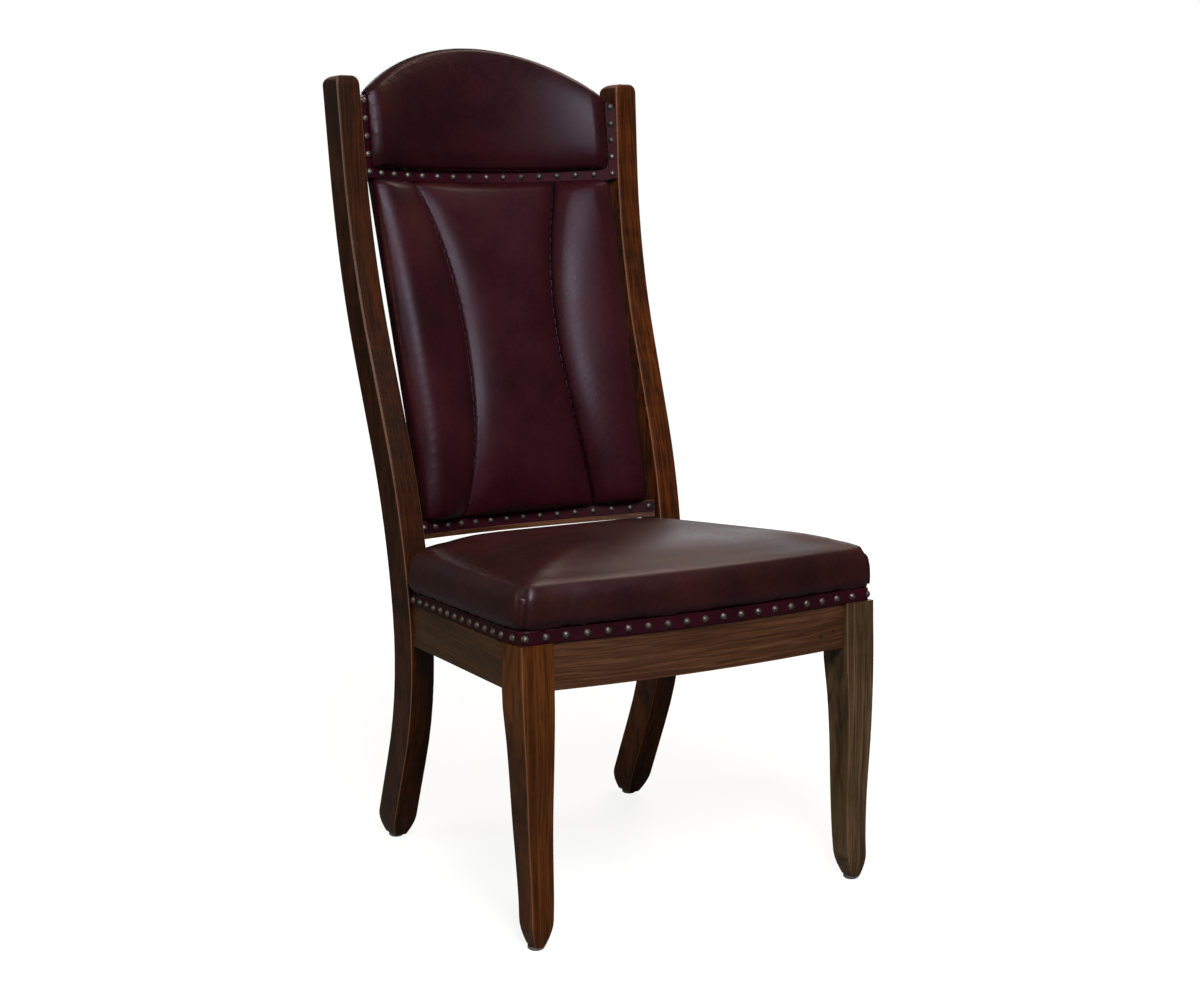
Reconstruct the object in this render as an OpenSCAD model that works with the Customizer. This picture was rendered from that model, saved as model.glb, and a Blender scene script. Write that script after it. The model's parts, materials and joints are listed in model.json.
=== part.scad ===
// Upholstered side chair with a tall back: a wooden frame with curved back posts,
// a crowned leather seat, a waisted channel back and an arched crest, trimmed
// with a flat leather band and rows of dome nails.
// Millimetres. +Z is up, the sitter faces -Y and the sitter's left is +X.
// The origin is on the floor at the centre of the chair's bounding box.
// Inside the modules Y is measured from the front faces of the front legs.

/* [Seat frame] */
// Width over the front legs at the seat rails
front_width = 569; // [535:1:605]
// Depth from the front legs' faces to the back posts' front faces
seat_depth = 408; // [380:1:430]
// Height of the show wood's top edge at the front
seat_line = 404; // [380:1:430]
// Backward slope of the seat, in degrees
seat_pitch = 3.2; // [1:0.1:5]
// Height of the front seat rail
rail_height = 63; // [54:1:75]
// Height of the side and rear seat rails
side_rail_height = 60; // [52:1:70]
// Thickness of the seat rails
rail_thickness = 24; // [20:1:28]
// Distance that the front rail's ends lie behind the legs' faces
rail_recess = 7; // [3:1:10]
// Forward bow of the front rail
rail_bow = 20; // [5:1:26]
// Distance that the side rails lie inside the posts' outer faces
rail_inset = 5; // [2:1:8]
// Length of the rail tenons
tenon_length = 18; // [12:1:22]
// Thickness of the tenons
tenon_thickness = 10; // [8:1:12]
// Shoulder above and below each tenon
tenon_shoulder = 10; // [6:1:14]
// Play between a tenon and its mortise, all round
glue_gap = 0.1; // [0.05:0.05:0.2]
// Legs of the triangular corner blocks
block_leg = 88; // [70:1:100]
// Height of the corner blocks
block_height = 28; // [20:1:36]

/* [Front legs] */
// Width of a front leg at the rails
leg_width = 48.5; // [45:0.5:52]
// Depth of a front leg at the rails
leg_depth = 54.5; // [50:0.5:58]
// Distance that the leg's outer side draws in at the ankle
ankle_outer = 10; // [4:1:13]
// Distance that the leg's inner side draws in at the ankle
ankle_inner = 4; // [1:1:7]
// Distance that the leg's back draws in at the ankle
ankle_back = 22; // [14:1:24]
// Height of the ankle
ankle_height = 66; // [55:1:90]
// Forward swell of the leg's front at the knee
knee_swell = 6; // [2:1:9]
// Forward kick of the leg's foot
foot_kick = 9; // [3:1:12]

/* [Back posts] */
// Height of the back posts
post_height = 1139; // [1100:1:1180]
// Width of a back post
post_width = 38; // [34:1:42]
// Width over the back posts at the floor
post_spread = 459; // [435:1:480]
// Outward splay of the posts, in degrees
post_splay = 1.5; // [0.5:0.1:2.2]
// Depth of a post at the foot
post_foot_depth = 56; // [50:1:62]
// Depth of a post at the seat
post_seat_depth = 59; // [55:1:63]
// Depth of a post at the top
post_top_depth = 52; // [46:1:58]
// Backward rake of the rear foot, in degrees
foot_rake = 22.5; // [18:0.5:26]
// Length of the straight part of the rear foot
foot_straight = 154; // [120:1:180]
// Radius of the post's bend below the seat
knee_radius = 475; // [420:5:520]
// Rake of the post where its two bends meet, in degrees
seat_rake = 4; // [2:0.5:6]
// Radius of the post's bend above the seat
lumbar_radius = 960; // [880:10:1040]
// Rake of the post at its straight middle, in degrees
back_rake = 20; // [17:0.5:22]
// Length of the post's straight middle
back_straight = 136; // [100:1:170]
// Radius of the post's bend at the shoulders
shoulder_radius = 1100; // [1000:10:1200]
// Rake of the post at its top, in degrees
top_rake = 5.5; // [3:0.5:8]
// Rounding of the long wooden edges
edge_round = 3.5; // [2:0.5:5]
// Height of the rounding at the post's top
top_round = 13; // [6:1:15]

/* [Feet] */
// Height of the taper at the foot of every leg
foot_taper = 33; // [20:1:40]
// Distance that the taper draws in on each side
foot_cut = 9; // [4:1:10]
// Diameter of a glide
glide_diameter = 22; // [18:1:24]
// Thickness of a glide
glide_thickness = 5; // [4:1:7]
// Diameter of the glide's pin
glide_pin = 4; // [3:0.5:5]
// Length of the glide's pin
glide_pin_length = 18; // [12:1:24]

/* [Upholstery] */
// Thickness of the seat board
board_thickness = 18; // [15:1:22]
// Height of the flat leather band
band_height = 16; // [12:1:17]
// Thickness of the flat leather band
band_thickness = 2; // [1.5:0.5:3]
// Diameter of a dome nail's head
nail_diameter = 10.5; // [8:0.5:12]
// Height of a dome nail's head
nail_height = 3.8; // [3:0.2:4.6]
// Height of the seat cushion's edge above the board
cushion_edge = 64; // [50:1:72]
// Outward bulge of the seat cushion's sides
cushion_bulge = 6; // [3:1:8]
// Crown of the seat cushion above its edge
cushion_crown = 23; // [14:1:34]
// Nails along the front of the seat
front_nails = 20; // [14:1:24]
// Nails along each side of the seat
side_nails = 14; // [10:1:16]
// Clearance round upholstery where it meets wood
soft_gap = 0.3; // [0.3:0.1:0.6]
// Clearance between a curved skin and the face that it covers
skin_gap = 0.1; // [0.05:0.05:0.2]

/* [Back] */
// Distance from the posts' tops down to the nail row under the crest
crest_drop = 139; // [125:1:165]
// Lean of the crest, in degrees
crest_lean = 7; // [5:0.5:9]
// Radius of the crest's curve in plan
crest_radius = 420; // [380:5:480]
// Distance from the posts' fronts to the crest rail's ends
crest_setback = 5; // [3:1:10]
// Height of the crest above its nail row, at the posts
crest_shoulder = 111; // [104:1:118]
// Rise of the crest's arch from the posts to the middle
crest_rise = 87; // [66:1:94]
// Thickness of the crest's padding in front
crest_pad = 24; // [14:1:30]
// Nails along the crest's lower row
crest_nails_row = 16; // [12:1:18]
// Nails up each side of the crest, above the row
crest_nails_side = 4; // [3:1:5]
// Thickness of the curved back rails
back_rail_thickness = 24; // [22:1:28]
// Height of the lower back rail's nail row above the seat line
lumbar_rise = 82; // [74:1:96]
// Lean of the lower back rail, in degrees
lumbar_lean = 8.5; // [7:0.5:10]
// Radius of the lower back rail's curve in plan
lumbar_plan_radius = 385; // [360:5:420]
// Distance from the posts' fronts to the lower back rail's ends
lumbar_setback = 15; // [12:1:18]
// Height of the bare wood under the lower band
lumbar_show = 9; // [6:1:12]
// Nails along the lower back rail
lumbar_nails_row = 15; // [11:1:17]
// Radius of the back panel's curve in plan
panel_radius = 380; // [370:5:390]
// Thickness of the bent plywood in the back
panel_thickness = 6; // [4:1:8]
// Gap between the back cushion and each post
slit_width = 13; // [8:1:18]
// Thickness of the back cushion at its sides
side_pad = 25; // [18:1:30]
// Forward swell of the back cushion at the small of the back
lumbar_swell = 30; // [10:1:34]
// Swell of each channel between the seams
channel_swell = 9; // [5:1:13]
// Half width of the middle channel at its waist
waist = 80; // [60:1:100]
// Height of the waist above the lower nail row
waist_rise = 266; // [210:1:320]
// Half width of the middle channel at its top
channel_top = 124; // [100:1:140]
// Half width of the middle channel at its bottom
channel_bottom = 113; // [90:1:130]
// Thickness of the outside leather covers
cover_thickness = 1.6; // [1.2:0.2:2.4]

/* [Hidden] */
$fn = 48;

wood = "saddlebrown";
inner_wood = "burlywood";
leather = [0.30, 0.12, 0.13];
band_leather = [0.20, 0.05, 0.08];
metal = "darkgray";

// Heights of the two nail rows on the back, and of the waist between them
crest_row = post_height - crest_drop;
lumbar_row = seat_line + lumbar_rise;
waist_height = lumbar_row + waist_rise;

// A long way, for cutters
far = 1500;
// Overshoot of a cutter past the face that it opens
over = 1;

// Points of a smooth curve through [height, value] stations
function station(s, z, i = 0) = (i >= len(s) - 2 || z < s[i + 1][0]) ? i : station(s, z, i + 1);
function station_slope(s, i) =
    let (a = max(i - 1, 0), b = min(i + 1, len(s) - 1))
    (s[b][1] - s[a][1]) / (s[b][0] - s[a][0]);
function curve(s, z) =
    let (
        i = station(s, z),
        h = s[i + 1][0] - s[i][0],
        t = min(max((z - s[i][0]) / h, 0), 1)
    )
    (2 * t ^ 3 - 3 * t ^ 2 + 1) * s[i][1] + (t ^ 3 - 2 * t ^ 2 + t) * h * station_slope(s, i)
    + (3 * t ^ 2 - 2 * t ^ 3) * s[i + 1][1] + (t ^ 3 - t ^ 2) * h * station_slope(s, i + 1);

// A path of tangent straights and arcs in the side view, each [length, turn, steps]
function walk(p, heading, step, turn, n) =
    n < 0.5 ? [] :
    let (q = p + step * [sin(heading + turn / 2), cos(heading + turn / 2)])
    concat([q], walk(q, heading + turn, step, turn, n - 1));
function chord(length, turn, n) =
    abs(turn) < 0.01 ? length / n : 2 * length * 180 / (PI * turn) * sin(turn / (2 * n));
function trace(runs, p, heading, i = 0) =
    i == len(runs) ? [] :
    let (
        r = runs[i],
        w = walk(p, heading, chord(r[0], r[1], r[2]), r[1] / r[2], r[2])
    )
    concat(w, trace(runs, w[len(w) - 1], heading + r[1], i + 1));
function arc_length(radius, turn) = radius * abs(turn) * PI / 180;

// The front edge of a back post, as [y, z] points from the floor up
post_runs = [
    [foot_straight, 0, 4],
    [arc_length(knee_radius, foot_rake + seat_rake), foot_rake + seat_rake, 14],
    [arc_length(lumbar_radius, back_rake - seat_rake), back_rake - seat_rake, 12],
    [back_straight, 0, 3],
    [arc_length(shoulder_radius, back_rake - top_rake), top_rake - back_rake, 12],
    [post_height, 0, 1]
];
post_raw = concat([[0, 0]], trace(post_runs, [0, 0], -foot_rake));
post_shift = seat_depth - min([for (p = post_raw) p[0]]);
post_edge = [for (p = post_raw) [p[1], p[0] + post_shift]];
post_depths = [
    [0, post_foot_depth], [430, post_seat_depth], [700, post_seat_depth - 0.5],
    [940, post_top_depth], [post_height, post_top_depth]
];

function post_front(z) = lookup(z, post_edge);
function post_depth(z) = curve(post_depths, z);
function post_outer(z) = post_spread / 2 + z * tan(post_splay);
function post_inner(z) = post_outer(z) - post_width;

// Draw-in of the taper at a foot, and of the rounding at a top
function foot_inset(z) =
    z > foot_taper + glide_thickness ? 0 :
    foot_cut * ((foot_taper + glide_thickness - z) / foot_taper) ^ 1.7;
function top_inset(z, top) =
    z < top - top_round ? 0 :
    let (u = min((z - top + top_round) / top_round, 1)) top_round * (1 - sqrt(1 - u * u));

// Faces of a front leg by height
block_foot = seat_line - rail_height - 12;
leg_outer_line = [
    [0, ankle_outer - 2], [ankle_height, ankle_outer], [200, ankle_outer * 0.46], [block_foot, 0], [seat_line, 0]
];
leg_inner_line = [
    [0, ankle_inner * 2], [ankle_height, ankle_inner], [200, ankle_inner], [block_foot, 0], [seat_line, 0]
];
leg_front_line = [[0, -foot_kick], [120, -knee_swell * 0.75], [240, -knee_swell], [seat_line, 0]];
leg_back_line = [
    [0, ankle_back + 6], [ankle_height, ankle_back], [150, ankle_back * 0.7], [262, ankle_back * 0.4],
    [block_foot, 0], [seat_line, 0]
];
leg_x = front_width / 2;

function leg_outer(z) = leg_x - max(curve(leg_outer_line, z), 0);
function leg_inner(z) = leg_x - leg_width + max(curve(leg_inner_line, z), 0);
function leg_front(z) = curve(leg_front_line, z);
function leg_back(z) = leg_depth - max(curve(leg_back_line, z), 0);

// One quarter turn in this many steps at every rounded corner
corner_steps = 3;
function corner(cx, cy, r, start, z) = [
    for (i = [0:corner_steps]) let (a = start + 90 * i / corner_steps) [cx + r * cos(a), cy + r * sin(a), z]
];
function rounded_ring(x0, x1, y0, y1, r, z) = concat(
    corner(x1 - r, y0 + r, r, -90, z),
    corner(x1 - r, y1 - r, r, 0, z),
    corner(x0 + r, y1 - r, r, 90, z),
    corner(x0 + r, y0 + r, r, 180, z)
);

// A cap across a bent outline, laid as a strip between two chains of its points: chain A
// runs from point 0 to the split, chain B from the last point back to the split, and B
// steps on at the points of A that advance names
function strip_cap(n, split, advance) = concat(
    [for (i = [0:split - 1]) [i, i + 1, n - 1 - len([for (a = advance) if (a <= i) a])]],
    [for (j = [0:len(advance) - 1]) [n - 2 - j, n - 1 - j, advance[j]]]
);

// A closed skin through rings of points that run anticlockwise seen from the last ring
module loft(rings, split = 0, advance = []) {
    n = len(rings[0]);
    m = len(rings);
    points = [for (r = rings) each r];
    sides = [
        for (k = [0:m - 2]) for (i = [0:n - 1])
            let (j = (i + 1) % n)
            each [[k * n + i, (k + 1) * n + i, (k + 1) * n + j], [k * n + i, (k + 1) * n + j, k * n + j]]
    ];
    cap = split > 0 ? strip_cap(n, split, advance) : [[for (i = [0:n - 1]) i]];
    end_cap = [for (face = cap) [for (i = [len(face) - 1:-1:0]) (m - 1) * n + face[i]]];
    polyhedron(points, concat(cap, sides, end_cap));
}

foot_levels = [for (u = [0, 0.12, 0.26, 0.42, 0.6, 0.8, 1]) glide_thickness + u * foot_taper];
first_level = glide_thickness + foot_taper;
top_levels = [for (u = [0, 0.3, 0.55, 0.76, 0.92, 1]) post_height - top_round * (1 - u)];
post_steps = 34;
post_levels = concat(
    foot_levels,
    [for (i = [1:post_steps - 1]) first_level + (post_height - top_round - first_level) * i / post_steps],
    top_levels
);
leg_steps = 16;
leg_levels = concat(
    foot_levels,
    [for (i = [1:leg_steps]) first_level + (seat_line + 4 - first_level) * i / leg_steps]
);

// Shifts everything from the front legs' faces to the chair's centre
module centred() {
    translate([0, -(back_reach - front_reach) / 2, 0]) children();
}

module mirrored_x(flip) {
    mirror([flip ? 1 : 0, 0, 0]) children();
}

// The seat's sloping layer between two heights above the seat line
module seat_slab(low, high) {
    translate([0, 0, seat_line]) rotate([-seat_pitch, 0, 0]) translate([-far / 2, -far / 2, low])
        cube([far, far, high - low]);
}

// A vertical prism on a plan outline, cut to a layer of the sloping seat
module seat_layer(outline, low, high) {
    intersection() {
        linear_extrude(far) polygon(outline);
        seat_slab(low, high);
    }
}

// Front of the bowed rail, and the line that the seat's edge follows
function rail_front(x) =
    let (h = leg_x - leg_width, r = (h * h + rail_bow * rail_bow) / (2 * rail_bow))
    rail_recess - rail_bow + r - sqrt(r * r - x * x);
edge_x = leg_x - 4;
edge_y = 5;
edge_round_plan = 12;
edge_side = post_outer(seat_line) - rail_inset - 1;
seat_back = seat_depth + post_seat_depth - 8;
function seat_front(x) = min(edge_y, rail_front(x) - 1);

// Half of the seat's outline by x from the middle to the side, grown by d
front_steps = 12;
least_round = 3;
function corner_round(d) = max(edge_round_plan + d, least_round);
side_turn = atan((edge_x - edge_side) / (seat_depth - leg_depth));
function front_run(d) = [
    for (i = [0:front_steps])
        let (x = (edge_x + d - corner_round(d)) * i / front_steps)
        [x, seat_front(x) - d]
];
function corner_run(d) = [
    for (i = [1:4])
        let (a = -90 + 90 * i / 4, r = corner_round(d))
        [edge_x + d - r + r * cos(a), edge_y - d + r + r * sin(a)]
];
side_steps = 6;
side_end = seat_depth - 2;
function side_line(y) = y < leg_depth ? edge_x : edge_x - (y - leg_depth) * tan(side_turn);
function side_run(d, last) = [
    for (i = [0:side_steps]) let (y = leg_depth + (last - leg_depth) * i / side_steps) [side_line(y) + d, y]
];
notch_x = post_inner(seat_line) - 2;
function half_edge(d, last) = concat(front_run(d), corner_run(d), side_run(d, last));
function mirror_run(run) = [for (i = [len(run) - 1:-1:0]) [-run[i][0], run[i][1]]];
function seat_outline(d) =
    let (
        in = min(d, 0),
        half = concat(half_edge(d, side_end + in), [[notch_x + in, side_end + in], [notch_x + in, seat_back + in]])
    )
    concat(half, mirror_run([for (i = [1:len(half) - 1]) half[i]]));

// Wooden frame below the seat

module post_body() {
    loft([
        for (z = post_levels)
            let (f = foot_inset(z), t = top_inset(z, post_height), y = post_front(z))
            rounded_ring(
                post_inner(z) + f + 0.7 * t, post_outer(z) - f - 0.7 * t,
                y + 0.6 * f + 0.3 * t, y + post_depth(z) - 1.7 * f - 2.2 * t, edge_round, z
            )
    ]);
}

// The post's side view carried across the chair, for cuts that fit its front face
bar_levels = [for (z = post_levels) if (z >= first_level && z <= post_height - top_round) z];
module post_bar() {
    rotate([90, 0, 90]) linear_extrude(far) polygon(concat(
        [for (z = bar_levels) [post_front(z), z]],
        [for (i = [len(bar_levels) - 1:-1:0]) let (z = bar_levels[i]) [post_front(z) + post_depth(z), z]]
    ));
}

module post_space() {
    difference() {
        post_bar();
        between_posts();
    }
}

module leg_space() {
    translate([leg_x - leg_width, 0, 0]) cube([leg_width, leg_depth, seat_line + 10]);
}

module leg_body() {
    loft([
        for (z = leg_levels)
            let (f = foot_inset(z))
            rounded_ring(
                leg_inner(z) + f, leg_outer(z) - f,
                leg_front(z) + 0.6 * f, leg_back(z) - 0.4 * f, edge_round, z
            )
    ]);
}

// Plan of a side rail from the leg to the post
rail_x0 = leg_x - 1;
rail_x1 = post_outer(seat_line - side_rail_height / 2) - rail_inset;
rail_turn = atan((rail_x0 - rail_x1) / (seat_depth - leg_depth));
rail_across = rail_thickness / cos(rail_turn);
function rail_x(y) = rail_x0 - (y - leg_depth) * tan(rail_turn);

module side_rail_bar() {
    seat_layer([
        [rail_x(leg_depth), leg_depth], [rail_x(seat_depth + 20), seat_depth + 20],
        [rail_x(seat_depth + 20) - rail_across, seat_depth + 20], [rail_x(leg_depth) - rail_across, leg_depth]
    ], -side_rail_height, 0);
}

// A tenon along the side rail, into the leg and into the post
module side_rail_tenon(gap) {
    inset = (rail_across - tenon_thickness) / 2;
    y0 = leg_depth - tenon_length - gap;
    y1 = seat_depth + tenon_length + gap;
    seat_layer([
        [rail_x(y0) - inset + gap, y0], [rail_x(y1) - inset + gap, y1],
        [rail_x(y1) - rail_across + inset - gap, y1], [rail_x(y0) - rail_across + inset - gap, y0]
    ], -side_rail_height + tenon_shoulder - gap, -tenon_shoulder + gap);
}

module front_rail_bar() {
    h = leg_x - leg_width;
    n = 24;
    seat_layer(concat(
        [for (i = [0:n]) let (x = -h + 2 * h * i / n) [x, rail_front(x)]],
        [for (i = [n:-1:0]) let (x = -h + 2 * h * i / n) [x, rail_front(x) + rail_thickness]]
    ), -rail_height, 0);
}

module front_rail_tenon(gap) {
    h = leg_x - leg_width;
    y = rail_recess + (rail_thickness - tenon_thickness) / 2;
    seat_layer([
        [h - 8, y - gap], [h + tenon_length + gap, y - gap],
        [h + tenon_length + gap, y + tenon_thickness + gap], [h - 8, y + tenon_thickness + gap]
    ], -rail_height + tenon_shoulder - gap, -tenon_shoulder + gap);
}

// Wedge between the back posts, for whatever is framed between them
module between_posts() {
    rotate([90, 0, 0]) translate([0, 0, -far]) linear_extrude(2 * far) polygon([
        [-post_inner(0), 0], [post_inner(0), 0], [post_inner(far), far], [-post_inner(far), far]
    ]);
}

rear_rail_y = seat_depth + post_seat_depth - 8 - rail_thickness;

module rear_rail_tenon(gap) {
    y = rear_rail_y + (rail_thickness - tenon_thickness) / 2;
    x = post_inner(seat_line) - 12;
    seat_layer([
        [x, y - gap], [x + 12 + tenon_length + gap, y - gap],
        [x + 12 + tenon_length + gap, y + tenon_thickness + gap], [x, y + tenon_thickness + gap]
    ], -side_rail_height + tenon_shoulder - gap, -tenon_shoulder + gap);
}

module back_post(flip) {
    color(wood) centred() mirrored_x(flip) difference() {
        post_body();
        side_rail_tenon(glue_gap);
        rear_rail_tenon(glue_gap);
        crest_tenon(glue_gap);
        lumbar_tenon(glue_gap);
        block_screw_place(false) screw_hole(false);
        glide_place(false) glide_hole();
    }
}

module front_leg(flip) {
    color(wood) centred() mirrored_x(flip) difference() {
        leg_body();
        seat_slab(0, 60);
        side_rail_tenon(glue_gap);
        front_rail_tenon(glue_gap);
        block_screw_place(true) screw_hole(true);
        glide_place(true) glide_hole();
    }
}

module front_seat_rail() {
    color(wood) centred() {
        front_rail_bar();
        front_rail_tenon(0);
        mirror([1, 0, 0]) front_rail_tenon(0);
    }
}

module side_seat_rail(flip) {
    color(wood) centred() mirrored_x(flip) {
        difference() {
            side_rail_bar();
            post_bar();
        }
        side_rail_tenon(0);
    }
}

module rear_seat_rail() {
    color(wood) centred() {
        intersection() {
            seat_layer([
                [-far, rear_rail_y], [far, rear_rail_y],
                [far, rear_rail_y + rail_thickness], [-far, rear_rail_y + rail_thickness]
            ], -side_rail_height, 0);
            between_posts();
        }
        rear_rail_tenon(0);
        mirror([1, 0, 0]) rear_rail_tenon(0);
    }
}

// Corner blocks and their screws

block_top = -12;
front_block_corner = [leg_x - 12, rail_recess + rail_thickness - 12];
rear_block_corner = [post_inner(seat_line) + 14, rear_rail_y + 4];
block_screw = 5;
block_screw_head = 10;
// Bite of the corner screws, measured across the leg and the post
front_screw_grip = 26;
rear_screw_grip = 5;
block_middle = block_top - block_height / 2;

module corner_block(front, flip) {
    c = front ? front_block_corner : rear_block_corner;
    s = front ? 1 : -1;
    color(inner_wood) centred() mirrored_x(flip) difference() {
        seat_layer(
            [c, [c[0], c[1] + s * block_leg], [c[0] - block_leg, c[1]]],
            block_top - block_height, block_top
        );
        if (front) {
            leg_space();
            front_rail_bar();
        } else {
            post_space();
            rear_rail_space();
        }
        side_rail_space();
        block_screw_place(front) screw_hole(front);
        seat_screw_place(front) seat_screw_hole();
    }
}

module rear_rail_space() {
    translate([-far / 2, rear_rail_y, 0]) cube(far);
}

module side_rail_space() {
    back = seat_depth + 80;
    linear_extrude(far) polygon([
        [rail_x(0) - rail_across, 0], [rail_x(back) - rail_across, back], [far, back], [far, 0]
    ]);
}

// Middle of a block's long face in plan
function block_mid(front) =
    let (c = front ? front_block_corner : rear_block_corner, s = front ? 1 : -1)
    [c[0] - block_leg / 2, c[1] + s * block_leg / 2];

// The corner screw lies across the block, from its long face into the leg or the post
module block_screw_place(front) {
    mid = block_mid(front);
    height = seat_line - mid[1] * tan(seat_pitch) + block_middle;
    translate([mid[0], mid[1], height]) rotate([0, 0, front ? -45 : 45]) rotate([0, 90, 0]) children();
}

function block_screw_end(front) =
    front ? leg_x - leg_width + front_screw_grip : post_inner(seat_line) + rear_screw_grip;
function block_screw_length(front) = (block_screw_end(front) - block_mid(front)[0]) * sqrt(2);

module screw_hole(front) {
    translate([0, 0, -over]) cylinder(d = block_screw + 0.2, h = block_screw_length(front) + over + 0.5);
}

module block_screw(front) {
    cylinder(d = block_screw, h = block_screw_length(front));
    translate([0, 0, -block_screw_head / 3]) cylinder(d = block_screw_head, h = block_screw_head / 3);
}

// The seat screws stand in the blocks and hold the board down
seat_screw = 4.5;
seat_screw_bite = 11;
seat_screw_length = block_height - block_top + seat_screw_bite;
module seat_screw_place(front) {
    c = front ? front_block_corner : rear_block_corner;
    s = front ? 1 : -1;
    p = [c[0] - block_leg * 0.62, c[1] + s * block_leg * 0.2];
    translate([p[0], p[1], seat_line - p[1] * tan(seat_pitch)]) rotate([-seat_pitch, 0, 0]) children();
}

module seat_screw_hole() {
    translate([0, 0, block_top - block_height - over])
        cylinder(d = seat_screw + 0.2, h = seat_screw_length + over + 0.5);
}

module seat_screw() {
    translate([0, 0, block_top - block_height]) cylinder(d = seat_screw, h = seat_screw_length);
    translate([0, 0, block_top - block_height - 3]) cylinder(d1 = seat_screw + 1, d2 = seat_screw * 2, h = 3);
}

module every_corner() {
    for (flip = [false, true]) mirrored_x(flip) children();
}

module block_screws() {
    color(metal) centred() every_corner() for (front = [true, false])
        block_screw_place(front) block_screw(front);
}

module seat_screws() {
    color(metal) centred() every_corner() for (front = [true, false])
        seat_screw_place(front) seat_screw();
}

// Glides

front_glide = [
    (leg_inner(glide_thickness) + leg_outer(glide_thickness)) / 2,
    (leg_front(0) + leg_back(0)) / 2 + 0.1 * foot_cut
];
rear_glide = [
    post_outer(0) - post_width / 2,
    post_front(glide_thickness) + (post_foot_depth - 1.1 * foot_cut) / 2
];
module glide_place(front) {
    translate(front ? front_glide : rear_glide) children();
}

module glide_hole() {
    cylinder(d = glide_pin + 0.2, h = glide_thickness + glide_pin_length + 0.5);
}

module glide(front, flip) {
    color("gainsboro") centred() mirrored_x(flip) glide_place(front) rotate_extrude() polygon([
        [0, 0], [glide_diameter / 2 - 2, 0], [glide_diameter / 2, 1.6], [glide_diameter / 2, glide_thickness],
        [glide_pin / 2, glide_thickness], [glide_pin / 2, glide_thickness + glide_pin_length - 3],
        [0, glide_thickness + glide_pin_length]
    ]);
}

// Seat upholstery

module seat_board() {
    color(inner_wood) centred() difference() {
        seat_layer(seat_outline(0), 0, board_thickness);
        every_corner() for (front = [true, false]) seat_screw_place(front) seat_screw_hole();
    }
}

// The dust cover is stapled under the side and rear rails, a little inside their faces,
// and its front edge meets the back of the front rail
cover_inset = 9;
cover_steps = 8;
module dust_cover() {
    half = concat(
        [
            for (i = [0:cover_steps])
                let (x = (leg_x - leg_width) * i / cover_steps)
                [x, rail_front(x) + rail_thickness]
        ],
        [
            [leg_x - cover_inset, leg_depth], [rail_x(seat_depth) - cover_inset, seat_depth],
            [post_inner(0), seat_depth + 20], [post_inner(0), rear_rail_y + rail_thickness - cover_inset]
        ]
    );
    outline = concat(half, mirror_run([for (i = [1:len(half) - 1]) half[i]]));
    color([0.12, 0.12, 0.13]) centred() difference() {
        seat_layer(outline, -side_rail_height - 1, -side_rail_height);
        every_corner() {
            leg_space();
            post_space();
        }
    }
}

band_low = 0.8;
module seat_band() {
    run = half_edge(band_thickness + skin_gap, side_end);
    back = half_edge(skin_gap, side_end);
    path = concat(mirror_run([for (i = [1:len(run) - 1]) run[i]]), run);
    inner = concat(mirror_run([for (i = [1:len(back) - 1]) back[i]]), back);
    color(band_leather) centred() seat_layer(
        concat(path, [for (i = [len(inner) - 1:-1:0]) inner[i]]), band_low, band_low + band_height
    );
}

// Head of a dome nail that faces -Y, with its back on the XZ plane
module nail_head() {
    r = (nail_diameter * nail_diameter / 4 + nail_height * nail_height) / (2 * nail_height);
    rotate([90, 0, 0]) intersection() {
        translate([0, 0, nail_height - r]) sphere(r, $fn = 24);
        cylinder(d = nail_diameter, h = nail_height + over, $fn = 24);
    }
}

nail_level = band_low + band_height / 2;
nail_seat = 0.06;
nail_off = band_thickness + skin_gap + nail_seat;
function seat_level(y) = seat_line - y * tan(seat_pitch) + nail_level;
function front_slope(x) = atan((seat_front(x + 1) - seat_front(x - 1)) / 2);

// The rows meet on the rounded corners, at the middle of one of the corner's flats
corner_nail_turn = 22.5 * 1.5;
corner_nail_reach = (edge_round_plan + band_thickness + skin_gap) * cos(11.25);
module seat_nails() {
    centre = [edge_x - edge_round_plan, edge_y + edge_round_plan];
    reach = centre[0] + corner_nail_reach * sin(corner_nail_turn);
    first = leg_depth - 28;
    last = side_end - 8;
    color(metal) centred() {
        for (i = [1:front_nails - 2]) {
            x = -reach + 2 * reach * i / (front_nails - 1);
            translate([x, seat_front(x), seat_level(seat_front(x))])
                rotate([0, 0, front_slope(x)]) translate([0, -nail_off, 0]) nail_head();
        }
        for (flip = [false, true]) mirrored_x(flip) {
            translate([centre[0], centre[1], seat_level(edge_y)])
                rotate([0, 0, corner_nail_turn]) translate([0, -corner_nail_reach - nail_seat, 0])
                    nail_head();
            for (i = [0:side_nails - 1]) {
                y = first + (last - first) * i / (side_nails - 1);
                translate([side_line(y), y, seat_level(y)])
                    rotate([0, 0, y < leg_depth ? 90 : 90 + side_turn]) translate([0, -nail_off, 0])
                        nail_head();
            }
        }
    }
}

// Rings of the seat cushion up its side: shares of the bulge and of the edge's height,
// then rings that turn in over the top by plain distances, then shares of the crown
side_rings = [[0.7, 0], [0.9, 0.08], [1, 0.22], [1, 0.42], [0.8, 0.58], [0.3, 0.74], [-0.6, 0.86]];
turn_rings = [[-9, 0.95], [-16, 1], [-26, 1.035]];
crown_rings = [0.93, 0.84, 0.7, 0.5, 0.28, 0.1];
crown_power = 3.4;
crown_centre = [0, seat_depth / 2];
cushion_base = board_thickness + soft_gap;
tongue_round = 12;

// Height above the floor of a point at a depth y and a height above the seat line
function seat_lift(y, h) = seat_line + h / cos(seat_pitch) - y * tan(seat_pitch);

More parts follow.
